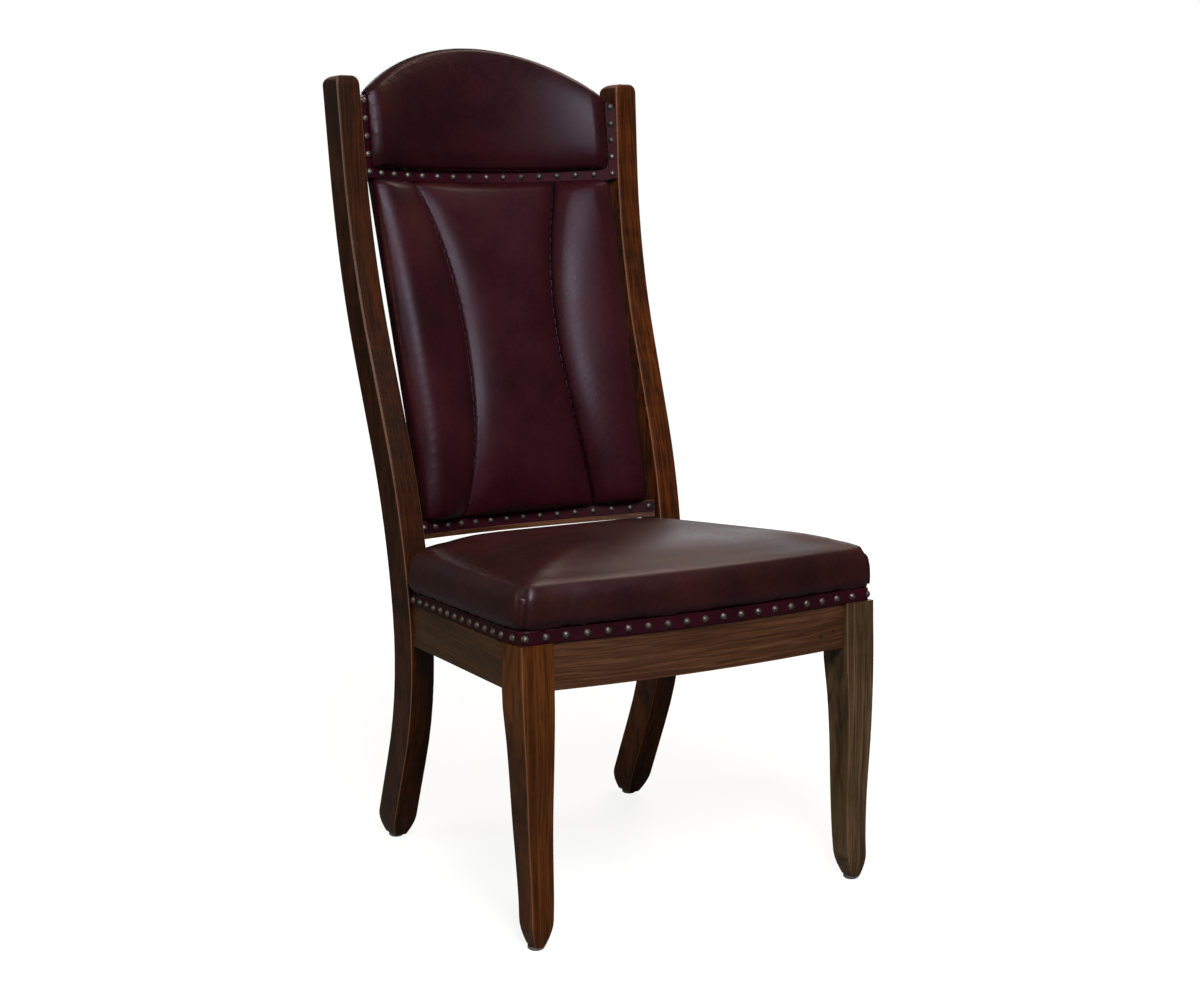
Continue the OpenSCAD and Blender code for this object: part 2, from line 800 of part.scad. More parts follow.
// The cushion's outline at a growth d, notched round the posts at the height z
function tongue_run(d, x, y) = [
    for (i = [0:3]) let (a = 90 * i / 3)
    [x - tongue_round + tongue_round * cos(a), y - tongue_round + tongue_round * sin(a)]
];
function cushion_outline(d, z) =
    let (
        last = post_front(z) - soft_gap + min(d, 0),
        x = post_inner(z) - soft_gap + min(d, 0),
        half = concat(half_edge(d, last), [[x, last]], tongue_run(d, x, seat_back + min(d, 0)))
    )
    concat(half, mirror_run([for (i = [1:len(half) - 1]) half[i]]));
function cushion_ring(d, h) = [
    for (p = cushion_outline(d, seat_lift(seat_depth, cushion_base + h)))
        [p[0], p[1], seat_lift(p[1], cushion_base + h)]
];

module seat_cushion() {
    rim_in = turn_rings[len(turn_rings) - 1][0];
    rim_h = turn_rings[len(turn_rings) - 1][1] * cushion_edge;
    rim = cushion_outline(rim_in, seat_lift(seat_depth, cushion_base + rim_h));
    color(leather) centred() loft(concat(
        [for (e = side_rings) cushion_ring(e[0] * cushion_bulge, e[1] * cushion_edge)],
        [for (e = turn_rings) cushion_ring(e[0], e[1] * cushion_edge)],
        [
            for (s = crown_rings) [
                for (p = rim) let (q = crown_centre + (p - crown_centre) * s)
                    [q[0], q[1], seat_lift(q[1], cushion_base + rim_h + cushion_crown * (1 - s ^ crown_power))]
            ]
        ]
    ));
}

// Back: each curved rail is a leaning slice of a tube, framed between the posts

module back_frame(row, setback, lean) {
    translate([0, post_front(row) + setback, row]) rotate([-lean, 0, 0]) children();
}

// A slice of an upright tube, whose axis puts a circle of radius base through y = 0 at x = h
module plan_shell(radius, base, h, thickness, low, high) {
    translate([0, -sqrt(base * base - h * h), low]) difference() {
        cylinder(r = radius + thickness, h = high - low, $fn = 180);
        translate([0, 0, -over]) cylinder(r = radius, h = high - low + 2 * over, $fn = 180);
        translate([-far, -2 * far, -over]) cube([2 * far, 2 * far, high - low + 2 * over]);
    }
}
function plan_sweep(radius, h, x) = sqrt(radius * radius - x * x) - sqrt(radius * radius - h * h);

crest_h = post_inner(crest_row);
lumbar_h = post_inner(lumbar_row);
crest_bottom = -band_height / 2 - 1;
lumbar_top = band_height / 2 + 1;
lumbar_bottom = -band_height / 2 - lumbar_show;

// The crest's arch is a circle through its middle and its shoulders
crest_span = crest_h - 5;
pad_on_shoulder = 2.5;
pad_on_top = 11;
wood_shoulder = crest_shoulder - pad_on_shoulder;
wood_rise = crest_rise + pad_on_shoulder - pad_on_top;
function arch_radius(rise) = (crest_span * crest_span + rise * rise) / (2 * rise);
function arch(shoulder, rise, x) =
    let (r = arch_radius(rise)) shoulder + rise - r + sqrt(r * r - x * x);

module arch_disc(shoulder, rise) {
    r = arch_radius(rise);
    translate([0, far, shoulder + rise - r]) rotate([90, 0, 0]) cylinder(r = r, h = 2 * far, $fn = 180);
}

module crest_frame() {
    back_frame(crest_row, crest_setback, crest_lean) children();
}

module lumbar_frame() {
    back_frame(lumbar_row, lumbar_setback, lumbar_lean) children();
}

// Tenon at the end of a curved rail, between two heights above its nail row
module back_tenon(h, low, high, gap) {
    translate([h - 8, (back_rail_thickness - tenon_thickness) / 2 - gap, low - gap])
        cube([8 + tenon_length + gap, tenon_thickness + 2 * gap, high - low + 2 * gap]);
}

module crest_tenon(gap) {
    crest_frame() back_tenon(crest_h, tenon_shoulder, tenon_shoulder + 70, gap);
}

module lumbar_tenon(gap) {
    lumbar_frame() back_tenon(lumbar_h, lumbar_bottom + 5, lumbar_top - 5, gap);
}

// A layer of the crest between two radii, under the wooden arch lowered by a drop
module crest_layer(outward, thickness, low, drop) {
    intersection() {
        crest_frame() intersection() {
            plan_shell(
                crest_radius + outward, crest_radius, crest_h,
                thickness, low, crest_shoulder + crest_rise
            );
            arch_disc(wood_shoulder - drop, wood_rise);
        }
        between_posts();
    }
}

module crest_rail() {
    color(inner_wood) centred() {
        crest_layer(0, back_rail_thickness, crest_bottom, 0);
        crest_tenon(0);
        mirror([1, 0, 0]) crest_tenon(0);
    }
}

crest_hook = 12;
module crest_cover() {
    color(leather) centred()
        crest_layer(back_rail_thickness + skin_gap, cover_thickness, crest_bottom, crest_hook + 1);
}

// The crest's band runs under the pad and up both sides
band_inside = crest_h - nail_diameter - 0.6;
module crest_band() {
    color(band_leather) centred() difference() {
        crest_layer(-band_thickness - skin_gap, band_thickness, -band_height / 2, 0);
        crest_frame() translate([-band_inside, -far / 2, band_height / 2]) cube([2 * band_inside, far, far]);
    }
}

// A nail on the inside of a curve of the given radius, at an angle from the middle
module curve_nail(radius, h, a, level) {
    r = radius - nail_off;
    translate([r * sin(a), r * cos(a) - sqrt(radius * radius - h * h), level]) rotate([0, 0, -a]) nail_head();
}

crest_nail_x = crest_h - nail_diameter / 2 - 0.6;
nail_pitch = 26;
module crest_nails() {
    reach = asin(crest_nail_x / crest_radius);
    color(metal) centred() crest_frame() {
        for (i = [0:crest_nails_row - 1])
            curve_nail(crest_radius, crest_h, -reach + 2 * reach * i / (crest_nails_row - 1), 0);
        for (flip = [false, true]) mirrored_x(flip) for (i = [1:crest_nails_side]) {
            rise = i * nail_pitch;
            x = crest_nail_x + rise * tan(post_splay);
            curve_nail(crest_radius, crest_h, asin(x / crest_radius), rise);
        }
    }
}

// Sections of the crest's pad: share of its height, share of its thickness
pad_section = [
    [0, 0.3], [0.03, 0.62], [0.08, 0.86], [0.18, 0.98], [0.34, 1], [0.54, 0.97],
    [0.72, 0.9], [0.85, 0.78], [0.93, 0.62], [0.975, 0.42], [0.995, 0.16]
];
// The hook behind the rail ends at this point of each section
pad_split = len(pad_section) + 5;
pad_columns = 14;
pad_span = band_inside - 0.5;
pad_low = band_height / 2 + soft_gap;
pad_hook_thickness = 3;
function pad_x(i) = let (v = i / pad_columns) pad_span * (0.6 * v + 0.4 * sin(90 * v));
function pad_thickness(x) = crest_pad * (0.24 + 0.76 * (1 - abs(x / pad_span) ^ 5) ^ 0.5);
function pad_column(x) =
    let (
        front = plan_sweep(crest_radius, crest_h, x) - soft_gap,
        back = outer_sweep(x) + soft_gap,
        top = arch(crest_shoulder, crest_rise, x),
        wood_top = arch(wood_shoulder, wood_rise, x),
        t = pad_thickness(x)
    )
    concat(
        [for (p = pad_section) [x, front - p[1] * t, pad_low + p[0] * (top - pad_low)]],
        [
            [x, (front + back) / 2, top - 0.6],
            [x, back - 1, top - 2],
            [x, back + 0.7 * pad_hook_thickness, max(top - 4, wood_top)],
            [x, back + pad_hook_thickness, wood_top - 1.6],
            [x, back + pad_hook_thickness, wood_top - 0.6 * crest_hook],
            [x, back + 0.2, wood_top - crest_hook],
            [x, back, wood_top - 0.5 * crest_hook],
            [x, back, wood_top + soft_gap],
            [x, front, wood_top + soft_gap],
            [x, front, pad_low]
        ]
    );
function outer_sweep(x) =
    let (r = crest_radius + back_rail_thickness)
    sqrt(r * r - x * x) - sqrt(crest_radius * crest_radius - crest_h * crest_h);

module crest_cushion() {
    color(leather) centred() crest_frame() loft(
        [for (i = [pad_columns:-1:-pad_columns]) pad_column(sign(i) * pad_x(abs(i)))],
        pad_split, [4, pad_split - 5, pad_split - 1]
    );
}

module lower_back_rail() {
    color(wood) centred() {
        intersection() {
            lumbar_frame() plan_shell(
                lumbar_plan_radius, lumbar_plan_radius, lumbar_h,
                back_rail_thickness, lumbar_bottom, lumbar_top
            );
            between_posts();
        }
        lumbar_tenon(0);
        mirror([1, 0, 0]) lumbar_tenon(0);
    }
}

module lower_back_band() {
    color(band_leather) centred() intersection() {
        lumbar_frame() plan_shell(
            lumbar_plan_radius - band_thickness - skin_gap, lumbar_plan_radius, lumbar_h,
            band_thickness, -band_height / 2, band_height / 2
        );
        between_posts();
    }
}

lumbar_nail_x = lumbar_h - nail_diameter / 2 - 2.6;
module lower_back_nails() {
    reach = asin(lumbar_nail_x / lumbar_plan_radius);
    color(metal) centred() lumbar_frame()
        for (i = [0:lumbar_nails_row - 1])
            curve_nail(lumbar_plan_radius, lumbar_h, -reach + 2 * reach * i / (lumbar_nails_row - 1), 0);
}

// The back panel stands on the lower rail and ends under the crest rail
panel_h = post_inner(lumbar_row) - slit_width;
panel_foot_in = 1.5;
panel_head_in = 9;
function lean_point(row, setback, lean, y, z) =
    [post_front(row) + setback + y * cos(lean) + z * sin(lean), row - y * sin(lean) + z * cos(lean)];
panel_foot = lean_point(
    lumbar_row, lumbar_setback, lumbar_lean,
    plan_sweep(lumbar_plan_radius, lumbar_h, panel_h) + panel_foot_in, lumbar_top
);
panel_head = lean_point(
    crest_row, crest_setback, crest_lean,
    plan_sweep(crest_radius, crest_h, panel_h) + panel_head_in, crest_bottom
);
panel_lean = atan2(panel_head[0] - panel_foot[0], panel_head[1] - panel_foot[1]);
panel_length = norm(panel_head - panel_foot);

module panel_frame() {
    translate([0, panel_foot[0], panel_foot[1]]) rotate([-panel_lean, 0, 0]) children();
}

module between_rails() {
    intersection() {
        lumbar_frame() translate([-far / 2, -far / 2, lumbar_top]) cube(far);
        crest_frame() translate([-far / 2, -far / 2, crest_bottom - far]) cube(far);
    }
}

module between_slits() {
    rotate([90, 0, 0]) translate([0, 0, -far]) linear_extrude(2 * far) polygon([
        [-post_inner(0) + slit_width, 0], [post_inner(0) - slit_width, 0],
        [post_inner(far) - slit_width, far], [-post_inner(far) + slit_width, far]
    ]);
}

module panel_layer(outward, thickness) {
    intersection() {
        panel_frame() plan_shell(
            panel_radius + outward, panel_radius, panel_h,
            thickness, -60, panel_length + 60
        );
        between_rails();
        between_slits();
    }
}

module back_panel() {
    color(inner_wood) centred() panel_layer(0, panel_thickness);
}

module back_cover() {
    color(leather) centred() panel_layer(panel_thickness + skin_gap, cover_thickness);
}

// Back cushion: its front stands off the panel by the side pad, plus a swell that is
// fullest at the small of the back, plus a puff in each of its three channels
swell_line = [[0, 0], [0.12, 0.66], [0.27, 1], [0.5, 0.91], [0.75, 0.74], [1, 0.25]];
end_round = 20;
end_thickness = 9;
side_steps_back = 7;
middle_steps = 12;
rear_steps = 12;
puff_power = 3;
front_points = 2 * side_steps_back + middle_steps + 1;
panel_run = panel_length - 2 * soft_gap;
panel_rings = concat(
    [for (d = [0, 1.5, 5, 10]) d],
    [for (i = [0:13]) end_round + (panel_run - 2 * end_round) * i / 13],
    [for (d = [10, 5, 1.5, 0]) panel_run - d]
);
function panel_height(s) = panel_foot[1] + s * cos(panel_lean);
function panel_side(s) = post_inner(panel_height(s)) - slit_width;
function crease(s) =
    let (
        z = panel_height(s),
        low = panel_foot[1],
        high = panel_foot[1] + panel_run * cos(panel_lean)
    )
    z > waist_height ? waist + (channel_top - waist) * ((z - waist_height) / (high - waist_height)) ^ 2
    : waist + (channel_bottom - waist) * ((waist_height - z) / (waist_height - low)) ^ 2;
// Fullness near the two ends, from 0 at an end to 1 past the rounding
function fullness(s) =
    let (d = min(s, panel_run - s, end_round), u = 1 - d / end_round) sqrt(1 - u * u);
function puff(w) = channel_swell * (1 - abs(w) ^ puff_power);
function pad_depth(x, s, w) =
    let (
        side = panel_side(s),
        full = side_pad + lumbar_swell * curve(swell_line, s / panel_run) * (1 - abs(x / side) ^ 4) + puff(w)
    )
    end_thickness + (full - end_thickness) * fullness(s);
// Rings lie in planes that turn from the lower rail's slope to the crest rail's
function ring_tilt(s) = panel_lean - lumbar_lean + (lumbar_lean - crest_lean) * s / panel_run;
function panel_point(x, depth, s) =
    let (y = plan_sweep(panel_radius, panel_h, x) - soft_gap - depth)
    [x, y, soft_gap + s + (y + side_pad) * tan(ring_tilt(s)) - side_pad * tan(ring_tilt(s))];
function panel_edge(s) = panel_side(s) - 4 * (1 - fullness(s));
// Points across a side channel, from its seam outwards: [x, place between the seams]
function side_channel(s, flip) =
    let (c = crease(s), e = panel_edge(s) - 3)
    [for (i = [0:side_steps_back]) let (w = i / side_steps_back) [flip * (c + (e - c) * w), 2 * w - 1]];
function panel_ring(s) =
    let (
        c = crease(s),
        e = panel_edge(s),
        right = side_channel(s, 1),
        left = side_channel(s, -1),
        edge = pad_depth(e - 3, s, 1)
    )
    concat(
        [panel_point(-e, edge - 3, s)],
        [for (i = [side_steps_back:-1:1]) let (p = left[i]) panel_point(p[0], pad_depth(p[0], s, p[1]), s)],
        [
            for (i = [0:middle_steps])
                let (w = 2 * i / middle_steps - 1)
                panel_point(w * c, pad_depth(w * c, s, w), s)
        ],
        [for (i = [1:side_steps_back]) let (p = right[i]) panel_point(p[0], pad_depth(p[0], s, p[1]), s)],
        [panel_point(e, edge - 3, s), panel_point(e + 0.5, edge / 2, s)],
        [for (i = [0:rear_steps]) panel_point(e * (1 - 2 * i / rear_steps), 0, s)],
        [panel_point(-e - 0.5, edge / 2, s)]
    );

module back_cushion() {
    split = front_points + 1;
    color(leather) centred() panel_frame() loft(
        [for (s = panel_rings) panel_ring(s)], split,
        concat([0], [for (j = [0.5:rear_steps]) round(j * split / rear_steps)], [split])
    );
}

// The foremost point is the middle of the seat's front, at its nails or its cushion
front_reach = -seat_front(0) + max(nail_off + nail_height, cushion_bulge);
// The rearmost point is the crest pad's hook behind the top of the arch
back_reach = lean_point(
    crest_row, crest_setback, crest_lean,
    outer_sweep(0) + soft_gap + pad_hook_thickness, arch(wood_shoulder, wood_rise, 0) - 1.6
)[0];

back_post(false);  // back_post_left
back_post(true);  // back_post_right
front_leg(false);  // front_leg_left
front_leg(true);  // front_leg_right
front_seat_rail();
side_seat_rail(false);  // left_seat_rail
side_seat_rail(true);  // right_seat_rail
rear_seat_rail();
corner_block(true, false);  // front_left_block
corner_block(true, true);  // front_right_block
corner_block(false, false);  // rear_left_block
corner_block(false, true);  // rear_right_block
block_screws();
seat_screws();
seat_board();
seat_cushion();
seat_band();
seat_nails();
dust_cover();
crest_rail();
crest_cushion();
crest_band();
crest_nails();
crest_cover();
lower_back_rail();
back_panel();
back_cushion();
lower_back_band();
lower_back_nails();
back_cover();
glide(true, false);  // front_left_glide
glide(true, true);  // front_right_glide
glide(false, false);  // rear_left_glide
glide(false, true);  // rear_right_glide
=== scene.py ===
# %% [markdown]
# # An upholstered side chair with a tall waisted back
# The wooden frame, the rails, the leather bands and the nails were built to size elsewhere and
# come in as a fixed frame. This lesson gives them their stain and lacquer, and makes the soft
# parts over them: a crowned seat, a back with three channels and an arched crest.
# Sizes are in metres. +Z is up, the chair faces -Y, and the sitter's left is +X.

# %% Load the frame
import json
import math
import bpy
import numpy as np
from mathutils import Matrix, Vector, noise
from mathutils.bvhtree import BVHTree


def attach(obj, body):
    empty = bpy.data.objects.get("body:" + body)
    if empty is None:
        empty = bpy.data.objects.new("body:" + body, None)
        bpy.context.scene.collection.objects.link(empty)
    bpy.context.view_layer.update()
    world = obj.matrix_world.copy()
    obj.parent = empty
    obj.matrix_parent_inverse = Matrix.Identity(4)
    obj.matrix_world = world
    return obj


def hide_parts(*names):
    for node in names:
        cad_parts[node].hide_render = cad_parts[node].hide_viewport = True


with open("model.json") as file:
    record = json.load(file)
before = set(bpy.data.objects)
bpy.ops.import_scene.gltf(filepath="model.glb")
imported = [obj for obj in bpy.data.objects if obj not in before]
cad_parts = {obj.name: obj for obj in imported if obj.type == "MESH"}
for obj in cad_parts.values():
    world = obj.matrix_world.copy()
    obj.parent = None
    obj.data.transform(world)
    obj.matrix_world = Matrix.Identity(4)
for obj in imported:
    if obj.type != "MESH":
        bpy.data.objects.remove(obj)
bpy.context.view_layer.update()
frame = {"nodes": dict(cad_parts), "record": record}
nodes = frame["nodes"]
scene = bpy.context.scene
print("frame pieces:", len(nodes))

# %% [markdown]
# ## The camera
# The photograph was taken from a little above seat height, from the sitter's right, with a
# long lens. The place was found by fitting the posts, legs, rails and nail rows to the photo.

# %% Camera
camera = bpy.data.objects.new("camera", bpy.data.cameras.new("camera"))
scene.collection.objects.link(camera)
camera.location = (-1.4893, -2.47426, 0.9705)
looks_down, turned_right = 8.76, 31.67
camera.rotation_euler = (math.radians(90 - looks_down), 0, math.radians(-turned_right))
camera.data.lens = 59.97
camera.data.sensor_width = 36
scene.camera = camera
print("camera at", tuple(round(v, 3) for v in camera.location))

# %% [markdown]
# ## Small helpers for node trees
# A material is a chain of nodes. One helper adds a node and fills or links its sockets by
# name, which keeps each recipe below short enough to read as a list of ingredients.

# %% Node helpers
def feed(tree, socket, value):
    # Another node's output is linked, and a plain value is filled in
    if isinstance(value, bpy.types.NodeSocket):
        tree.links.new(value, socket)
    else:
        socket.default_value = value


def add(tree, kind, settings=None, **sockets):
    made = tree.nodes.new("ShaderNode" + kind)
    for key, value in (settings or {}).items():
        setattr(made, key, value)
    for key, value in sockets.items():
        feed(tree, made.inputs[key.replace("_", " ")], value)
    return made


def paint(red, green, blue):
    # A colour as it is read off a picture, 0 to 255, turned into Blender's linear one
    def linear(v):
        v = v / 255
        return v / 12.92 if v < 0.04045 else ((v + 0.055) / 1.055) ** 2.4
    return (linear(red), linear(green), linear(blue), 1)


def blend(tree, share, first, second):
    # In a Mix node the sockets 0, 6 and 7 are the factor and the two colours, and 2 gives a colour
    made = add(tree, "Mix", {"data_type": "RGBA"})
    for place, value in ((0, share), (6, first), (7, second)):
        feed(tree, made.inputs[place], value)
    return made.outputs[2]


def remap(tree, value, low, high, to_low, to_high):
    return add(tree, "MapRange", Value=value, From_Min=low, From_Max=high,
               To_Min=to_low, To_Max=to_high).outputs[0]


def maths(tree, operation, first, second):
    made = add(tree, "Math", {"operation": operation})
    for socket, value in zip(made.inputs, (first, second)):
        feed(tree, socket, value)
    return made.outputs[0]


def object_place(tree):
    # Where a point is on the chair, in metres, which rides along with the piece
    return add(tree, "TexCoord").outputs["Object"]


# %% [markdown]
# ## Floor, background and light
# The photo shows the chair on plain white. The floor adds white of its own for the camera's
# rays, a little less near the chair, so that it is white and still keeps the chair's shadow.
# For every other ray it is a dull grey, and it throws no extra light on the chair.

# %% Floor
bpy.ops.mesh.primitive_plane_add(size=60, location=(0, 0, 0))
floor = bpy.context.object
floor.name = "floor"
floor_paint = bpy.data.materials.new("pale_floor")
floor_paint.use_nodes = True
tree = floor_paint.node_tree
tree.nodes.clear()
near_chair, far_off = 0.6, 2.2
glow_near, glow_far = 0.86, 0.985
away = add(tree, "VectorMath", {"operation": "LENGTH"}, Vector=object_place(tree)).outputs["Value"]
glow = add(tree, "Emission", Strength=remap(tree, away, near_chair, far_off, glow_near, glow_far))
lit = add(tree, "BsdfDiffuse", Color=(0.24, 0.24, 0.24, 1))
seen = add(tree, "AddShader")
tree.links.new(glow.outputs[0], seen.inputs[0])
tree.links.new(lit.outputs[0], seen.inputs[1])
pick = add(tree, "MixShader")
tree.links.new(add(tree, "LightPath").outputs["Is Camera Ray"], pick.inputs[0])
tree.links.new(add(tree, "BsdfDiffuse", Color=(0.18, 0.18, 0.18, 1)).outputs[0], pick.inputs[1])
tree.links.new(seen.outputs[0], pick.inputs[2])
add(tree, "OutputMaterial", Surface=pick.outputs[0])
floor.data.materials.append(floor_paint)
print("floor:", len(tree.nodes), "nodes")

# %% World
world = bpy.data.worlds.new("studio")
scene.world = world
world.use_nodes = True
tree = world.node_tree
tree.nodes.clear()
path = add(tree, "LightPath")
direct = maths(tree, "MAXIMUM", path.outputs["Is Camera Ray"], path.outputs["Is Transmission Ray"])
white_in_mirror = 0.03
mirrored = maths(tree, "MULTIPLY", path.outputs["Is Glossy Ray"], white_in_mirror)
mix = add(tree, "MixShader")
tree.links.new(maths(tree, "MAXIMUM", direct, mirrored), mix.inputs[0])
room = add(tree, "Background", Color=(1, 0.97, 0.9, 1), Strength=0.1)
tree.links.new(room.outputs[0], mix.inputs[1])
tree.links.new(add(tree, "Background", Color=(1, 1, 1, 1)).outputs[0], mix.inputs[2])
add(tree, "OutputWorld", Surface=mix.outputs[0])
print("world: white to the camera, dim to the chair")

# %% [markdown]
# ## Lamps
# On the real leather the left slope of each channel shines and the middle stays dark, and the
# wood's front faces are lit while its outer faces are dull. Both say that the large soft lamp
# stood nearly in front of the chair and above it. Weaker ones fill in the rest: an olive one at
# the left, a tan one high at the right for the top edges, and a wide low one behind the chair.

# %% Softboxes
middle_of_chair = Vector((0, 0, 0.65))


def softbox(name, azimuth, elevation, distance, size, power, colour=(1, 1, 1)):
    # The azimuth starts in front of the chair and grows towards +X
    a, e = math.radians(azimuth), math.radians(elevation)
    way = Vector((math.sin(a) * math.cos(e), -math.cos(a) * math.cos(e), math.sin(e)))
    lamp = bpy.data.objects.new(name, bpy.data.lights.new(name, "AREA"))
    scene.collection.objects.link(lamp)
    lamp.data.shape = "RECTANGLE"
    lamp.data.size, lamp.data.size_y = size
    lamp.data.energy = power
    lamp.data.color = colour
    lamp.location = middle_of_chair + way * distance
    lamp.rotation_mode = "QUATERNION"
    lamp.rotation_quaternion = (-way).to_track_quat("-Z", "Y")
    print(name, "at", tuple(round(v, 2) for v in lamp.location))


softbox("key_light", azimuth=-22, elevation=38, distance=3.2, size=(0.9, 1.2), power=90)
softbox("left_light", azimuth=-100, elevation=22, distance=3.6, size=(1.2, 1.6), power=24,
        colour=(0.95, 1, 0.6))
softbox("top_light", azimuth=108, elevation=56, distance=3.0, size=(1.6, 1.0), power=33,
        colour=(1, 0.85, 0.66))
softbox("back_light", azimuth=150, elevation=18, distance=4.2, size=(3.6, 1.2), power=26)
scene.view_settings.view_transform = "Standard"

# %% [markdown]
# ## Leather grain
# Upholstery leather has a fine pebble, a slow change of tone from the dye, and a dull wax
# finish that is glossier in some places than in others. The grain is one node group that the
# seat, the back, the crest and the bands share, each with its own colours.

# %% Leather group
def new_group(name, inputs):
    # Both groups put out a colour, a roughness and a height
    group = bpy.data.node_groups.new(name, "ShaderNodeTree")
    for label, kind, value in inputs:
        socket = group.interface.new_socket(name=label, in_out="INPUT", socket_type="NodeSocket" + kind)
        if value is not None:
            socket.default_value = value
    for label, kind in (("Color", "Color"), ("Roughness", "Float"), ("Height", "Float")):
        group.interface.new_socket(name=label, in_out="OUTPUT", socket_type="NodeSocket" + kind)
    return group, group.nodes.new("NodeGroupInput").outputs, group.nodes.new("NodeGroupOutput").inputs


hide, given, result = new_group("leather_grain", [
    ("Vector", "Vector", None),
    ("Dark", "Color", (0.02, 0.004, 0.006, 1)),
    ("Light", "Color", (0.04, 0.01, 0.012, 1)),
    ("Gloss", "Float", 0.4),
    ("Pebble", "Float", 900.0),
])
place = given["Vector"]
cloud = add(hide, "TexNoise", Vector=place, Scale=9.0, Detail=3.0, Roughness=0.55).outputs["Fac"]
fleck = add(hide, "TexNoise", Vector=place, Scale=160.0, Detail=2.0, Roughness=0.6).outputs["Fac"]
pebble = add(hide, "TexVoronoi", {"feature": "SMOOTH_F1"}, Vector=place, Scale=given["Pebble"],
             Smoothness=0.6).outputs["Distance"]
crease = add(hide, "TexVoronoi", {"feature": "DISTANCE_TO_EDGE"}, Vector=place,
             Scale=given["Pebble"]).outputs["Distance"]
tone = maths(hide, "ADD", maths(hide, "MULTIPLY", cloud, 0.75), maths(hide, "MULTIPLY", fleck, 0.25))
dye = blend(hide, remap(hide, tone, 0.35, 0.65, 0, 1), given["Dark"], given["Light"])
hide.links.new(dye, result["Color"])
wax = remap(hide, cloud, 0.35, 0.65, -0.04, 0.04)
wax = maths(hide, "ADD", wax, remap(hide, fleck, 0.3, 0.7, -0.03, 0.03))
hide.links.new(maths(hide, "ADD", given["Gloss"], wax), result["Roughness"])
grain = maths(hide, "ADD", remap(hide, pebble, 0.0, 0.7, 0.6, 0.0), remap(hide, crease, 0.0, 0.12, 0.0, 0.4))
hide.links.new(grain, result["Height"])
print("leather group:", len(hide.nodes), "nodes")


# %% Leather materials
def shaded(name):
    material = bpy.data.materials.new(name)
    material.use_nodes = True
    return material, material.node_tree, material.node_tree.nodes["Principled BSDF"]


def leather(name, dark, light, gloss, specular=0.24, seam=False, pebble=900.0, depth=0.00006,
            coat=0.03, shine=(0.83, 0.77, 1, 1)):
    material, tree, shader = shaded(name)
    made = add(tree, "Group", {"node_tree": hide}, Vector=object_place(tree), Dark=dark, Light=light,
               Gloss=gloss, Pebble=pebble)
    bump = add(tree, "Bump", Height=made.outputs["Height"], Distance=depth, Strength=0.6)
    colour = made.outputs["Color"]
    if seam:
        # A point attribute holds painted shade for the seam grooves and the pleat folds. It is written where
        # the cushions are shaped
        crease_shade_line = add(tree, "Attribute", {"attribute_name": "seam"}).outputs["Fac"]
        colour = blend(tree, maths(tree, "MULTIPLY", crease_shade_line, 0.85), colour, paint(10, 2, 4))
    tree.links.new(colour, shader.inputs["Base Color"])
    tree.links.new(made.outputs["Roughness"], shader.inputs["Roughness"])
    tree.links.new(bump.outputs["Normal"], shader.inputs["Normal"])
    shader.inputs["Specular IOR Level"].default_value = specular
    shader.inputs["Specular Tint"].default_value = shine
    shader.inputs["Coat Weight"].default_value = coat
    shader.inputs["Coat Roughness"].default_value = 0.3
    return material


seat_leather = leather("seat_leather", paint(37, 12, 12), paint(55, 21, 19), gloss=0.4, specular=0.28,
                       seam=True)
back_leather = leather("back_leather", paint(39, 9, 14), paint(56, 16, 22), gloss=0.42, specular=0.17,
                       seam=True)
crest_leather = leather("crest_leather", paint(34, 7, 10), paint(48, 13, 16), gloss=0.38, specular=0.2)
outside_leather = leather("outside_leather", paint(38, 9, 13), paint(54, 16, 21), gloss=0.4)
band_leather = leather("band_leather", paint(34, 0, 10), paint(54, 2, 19), gloss=0.62, pebble=700.0,
                       depth=0.00014, coat=0.0, shine=(1, 0.7, 0.8, 1))
print("leathers are made")

# %% [markdown]
# ## Stained cherry
# The frame is a close-grained wood under brown stain and satin lacquer: faint growth lines
# along the grain, short dark pores, and a ripple across it where the light catches. The
# pattern is built once for grain that runs up Z, and a Mapping node turns it for each rail.

# %% Wood group
wood, given, result = new_group("cherry_grain", [
    ("Vector", "Vector", None),
    ("Dark", "Color", (0.03, 0.01, 0.004, 1)),
    ("Middle", "Color", (0.1, 0.04, 0.015, 1)),
    ("Light", "Color", (0.16, 0.06, 0.02, 1)),
    ("Figure", "Float", 0.5),
    ("Ripple", "Float", 0.4),
])


def streaks(vector, per_metre, detail, output="Fac", roughness=0.5):
    # Noise with its own number of changes per metre along each axis
    laid = add(wood, "Mapping", Vector=vector, Scale=per_metre).outputs[0]
    return add(wood, "TexNoise", Vector=laid, Scale=1.0, Detail=detail, Roughness=roughness).outputs[output]


place = given["Vector"]
sway = streaks(place, (9, 9, 2.2), 2.0, "Color")
bent = add(wood, "VectorMath", {"operation": "MULTIPLY_ADD"}, Vector=sway)
feed(wood, bent.inputs[1], (0.03, 0.03, 0.0))
feed(wood, bent.inputs[2], place)
bent = bent.outputs[0]
rings = streaks(bent, (130, 130, 1.5), 4.0, roughness=0.6)
lines = streaks(bent, (300, 300, 5), 3.0)
pores = streaks(place, (620, 620, 15), 2.0)
ripple = streaks(place, (14, 14, 62), 2.0)
cloud = streaks(place, (12, 12, 5), 3.0)
body = maths(wood, "ADD", maths(wood, "MULTIPLY", rings, 0.55), maths(wood, "MULTIPLY", cloud, 0.45))
base = blend(wood, remap(wood, body, 0.38, 0.62, 0, 1), given["Dark"], given["Light"])
base = blend(wood, 0.3, base, given["Middle"])
vein = maths(wood, "MULTIPLY", remap(wood, lines, 0.48, 0.6, 0, 1), given["Figure"])
base = blend(wood, vein, base, given["Dark"])
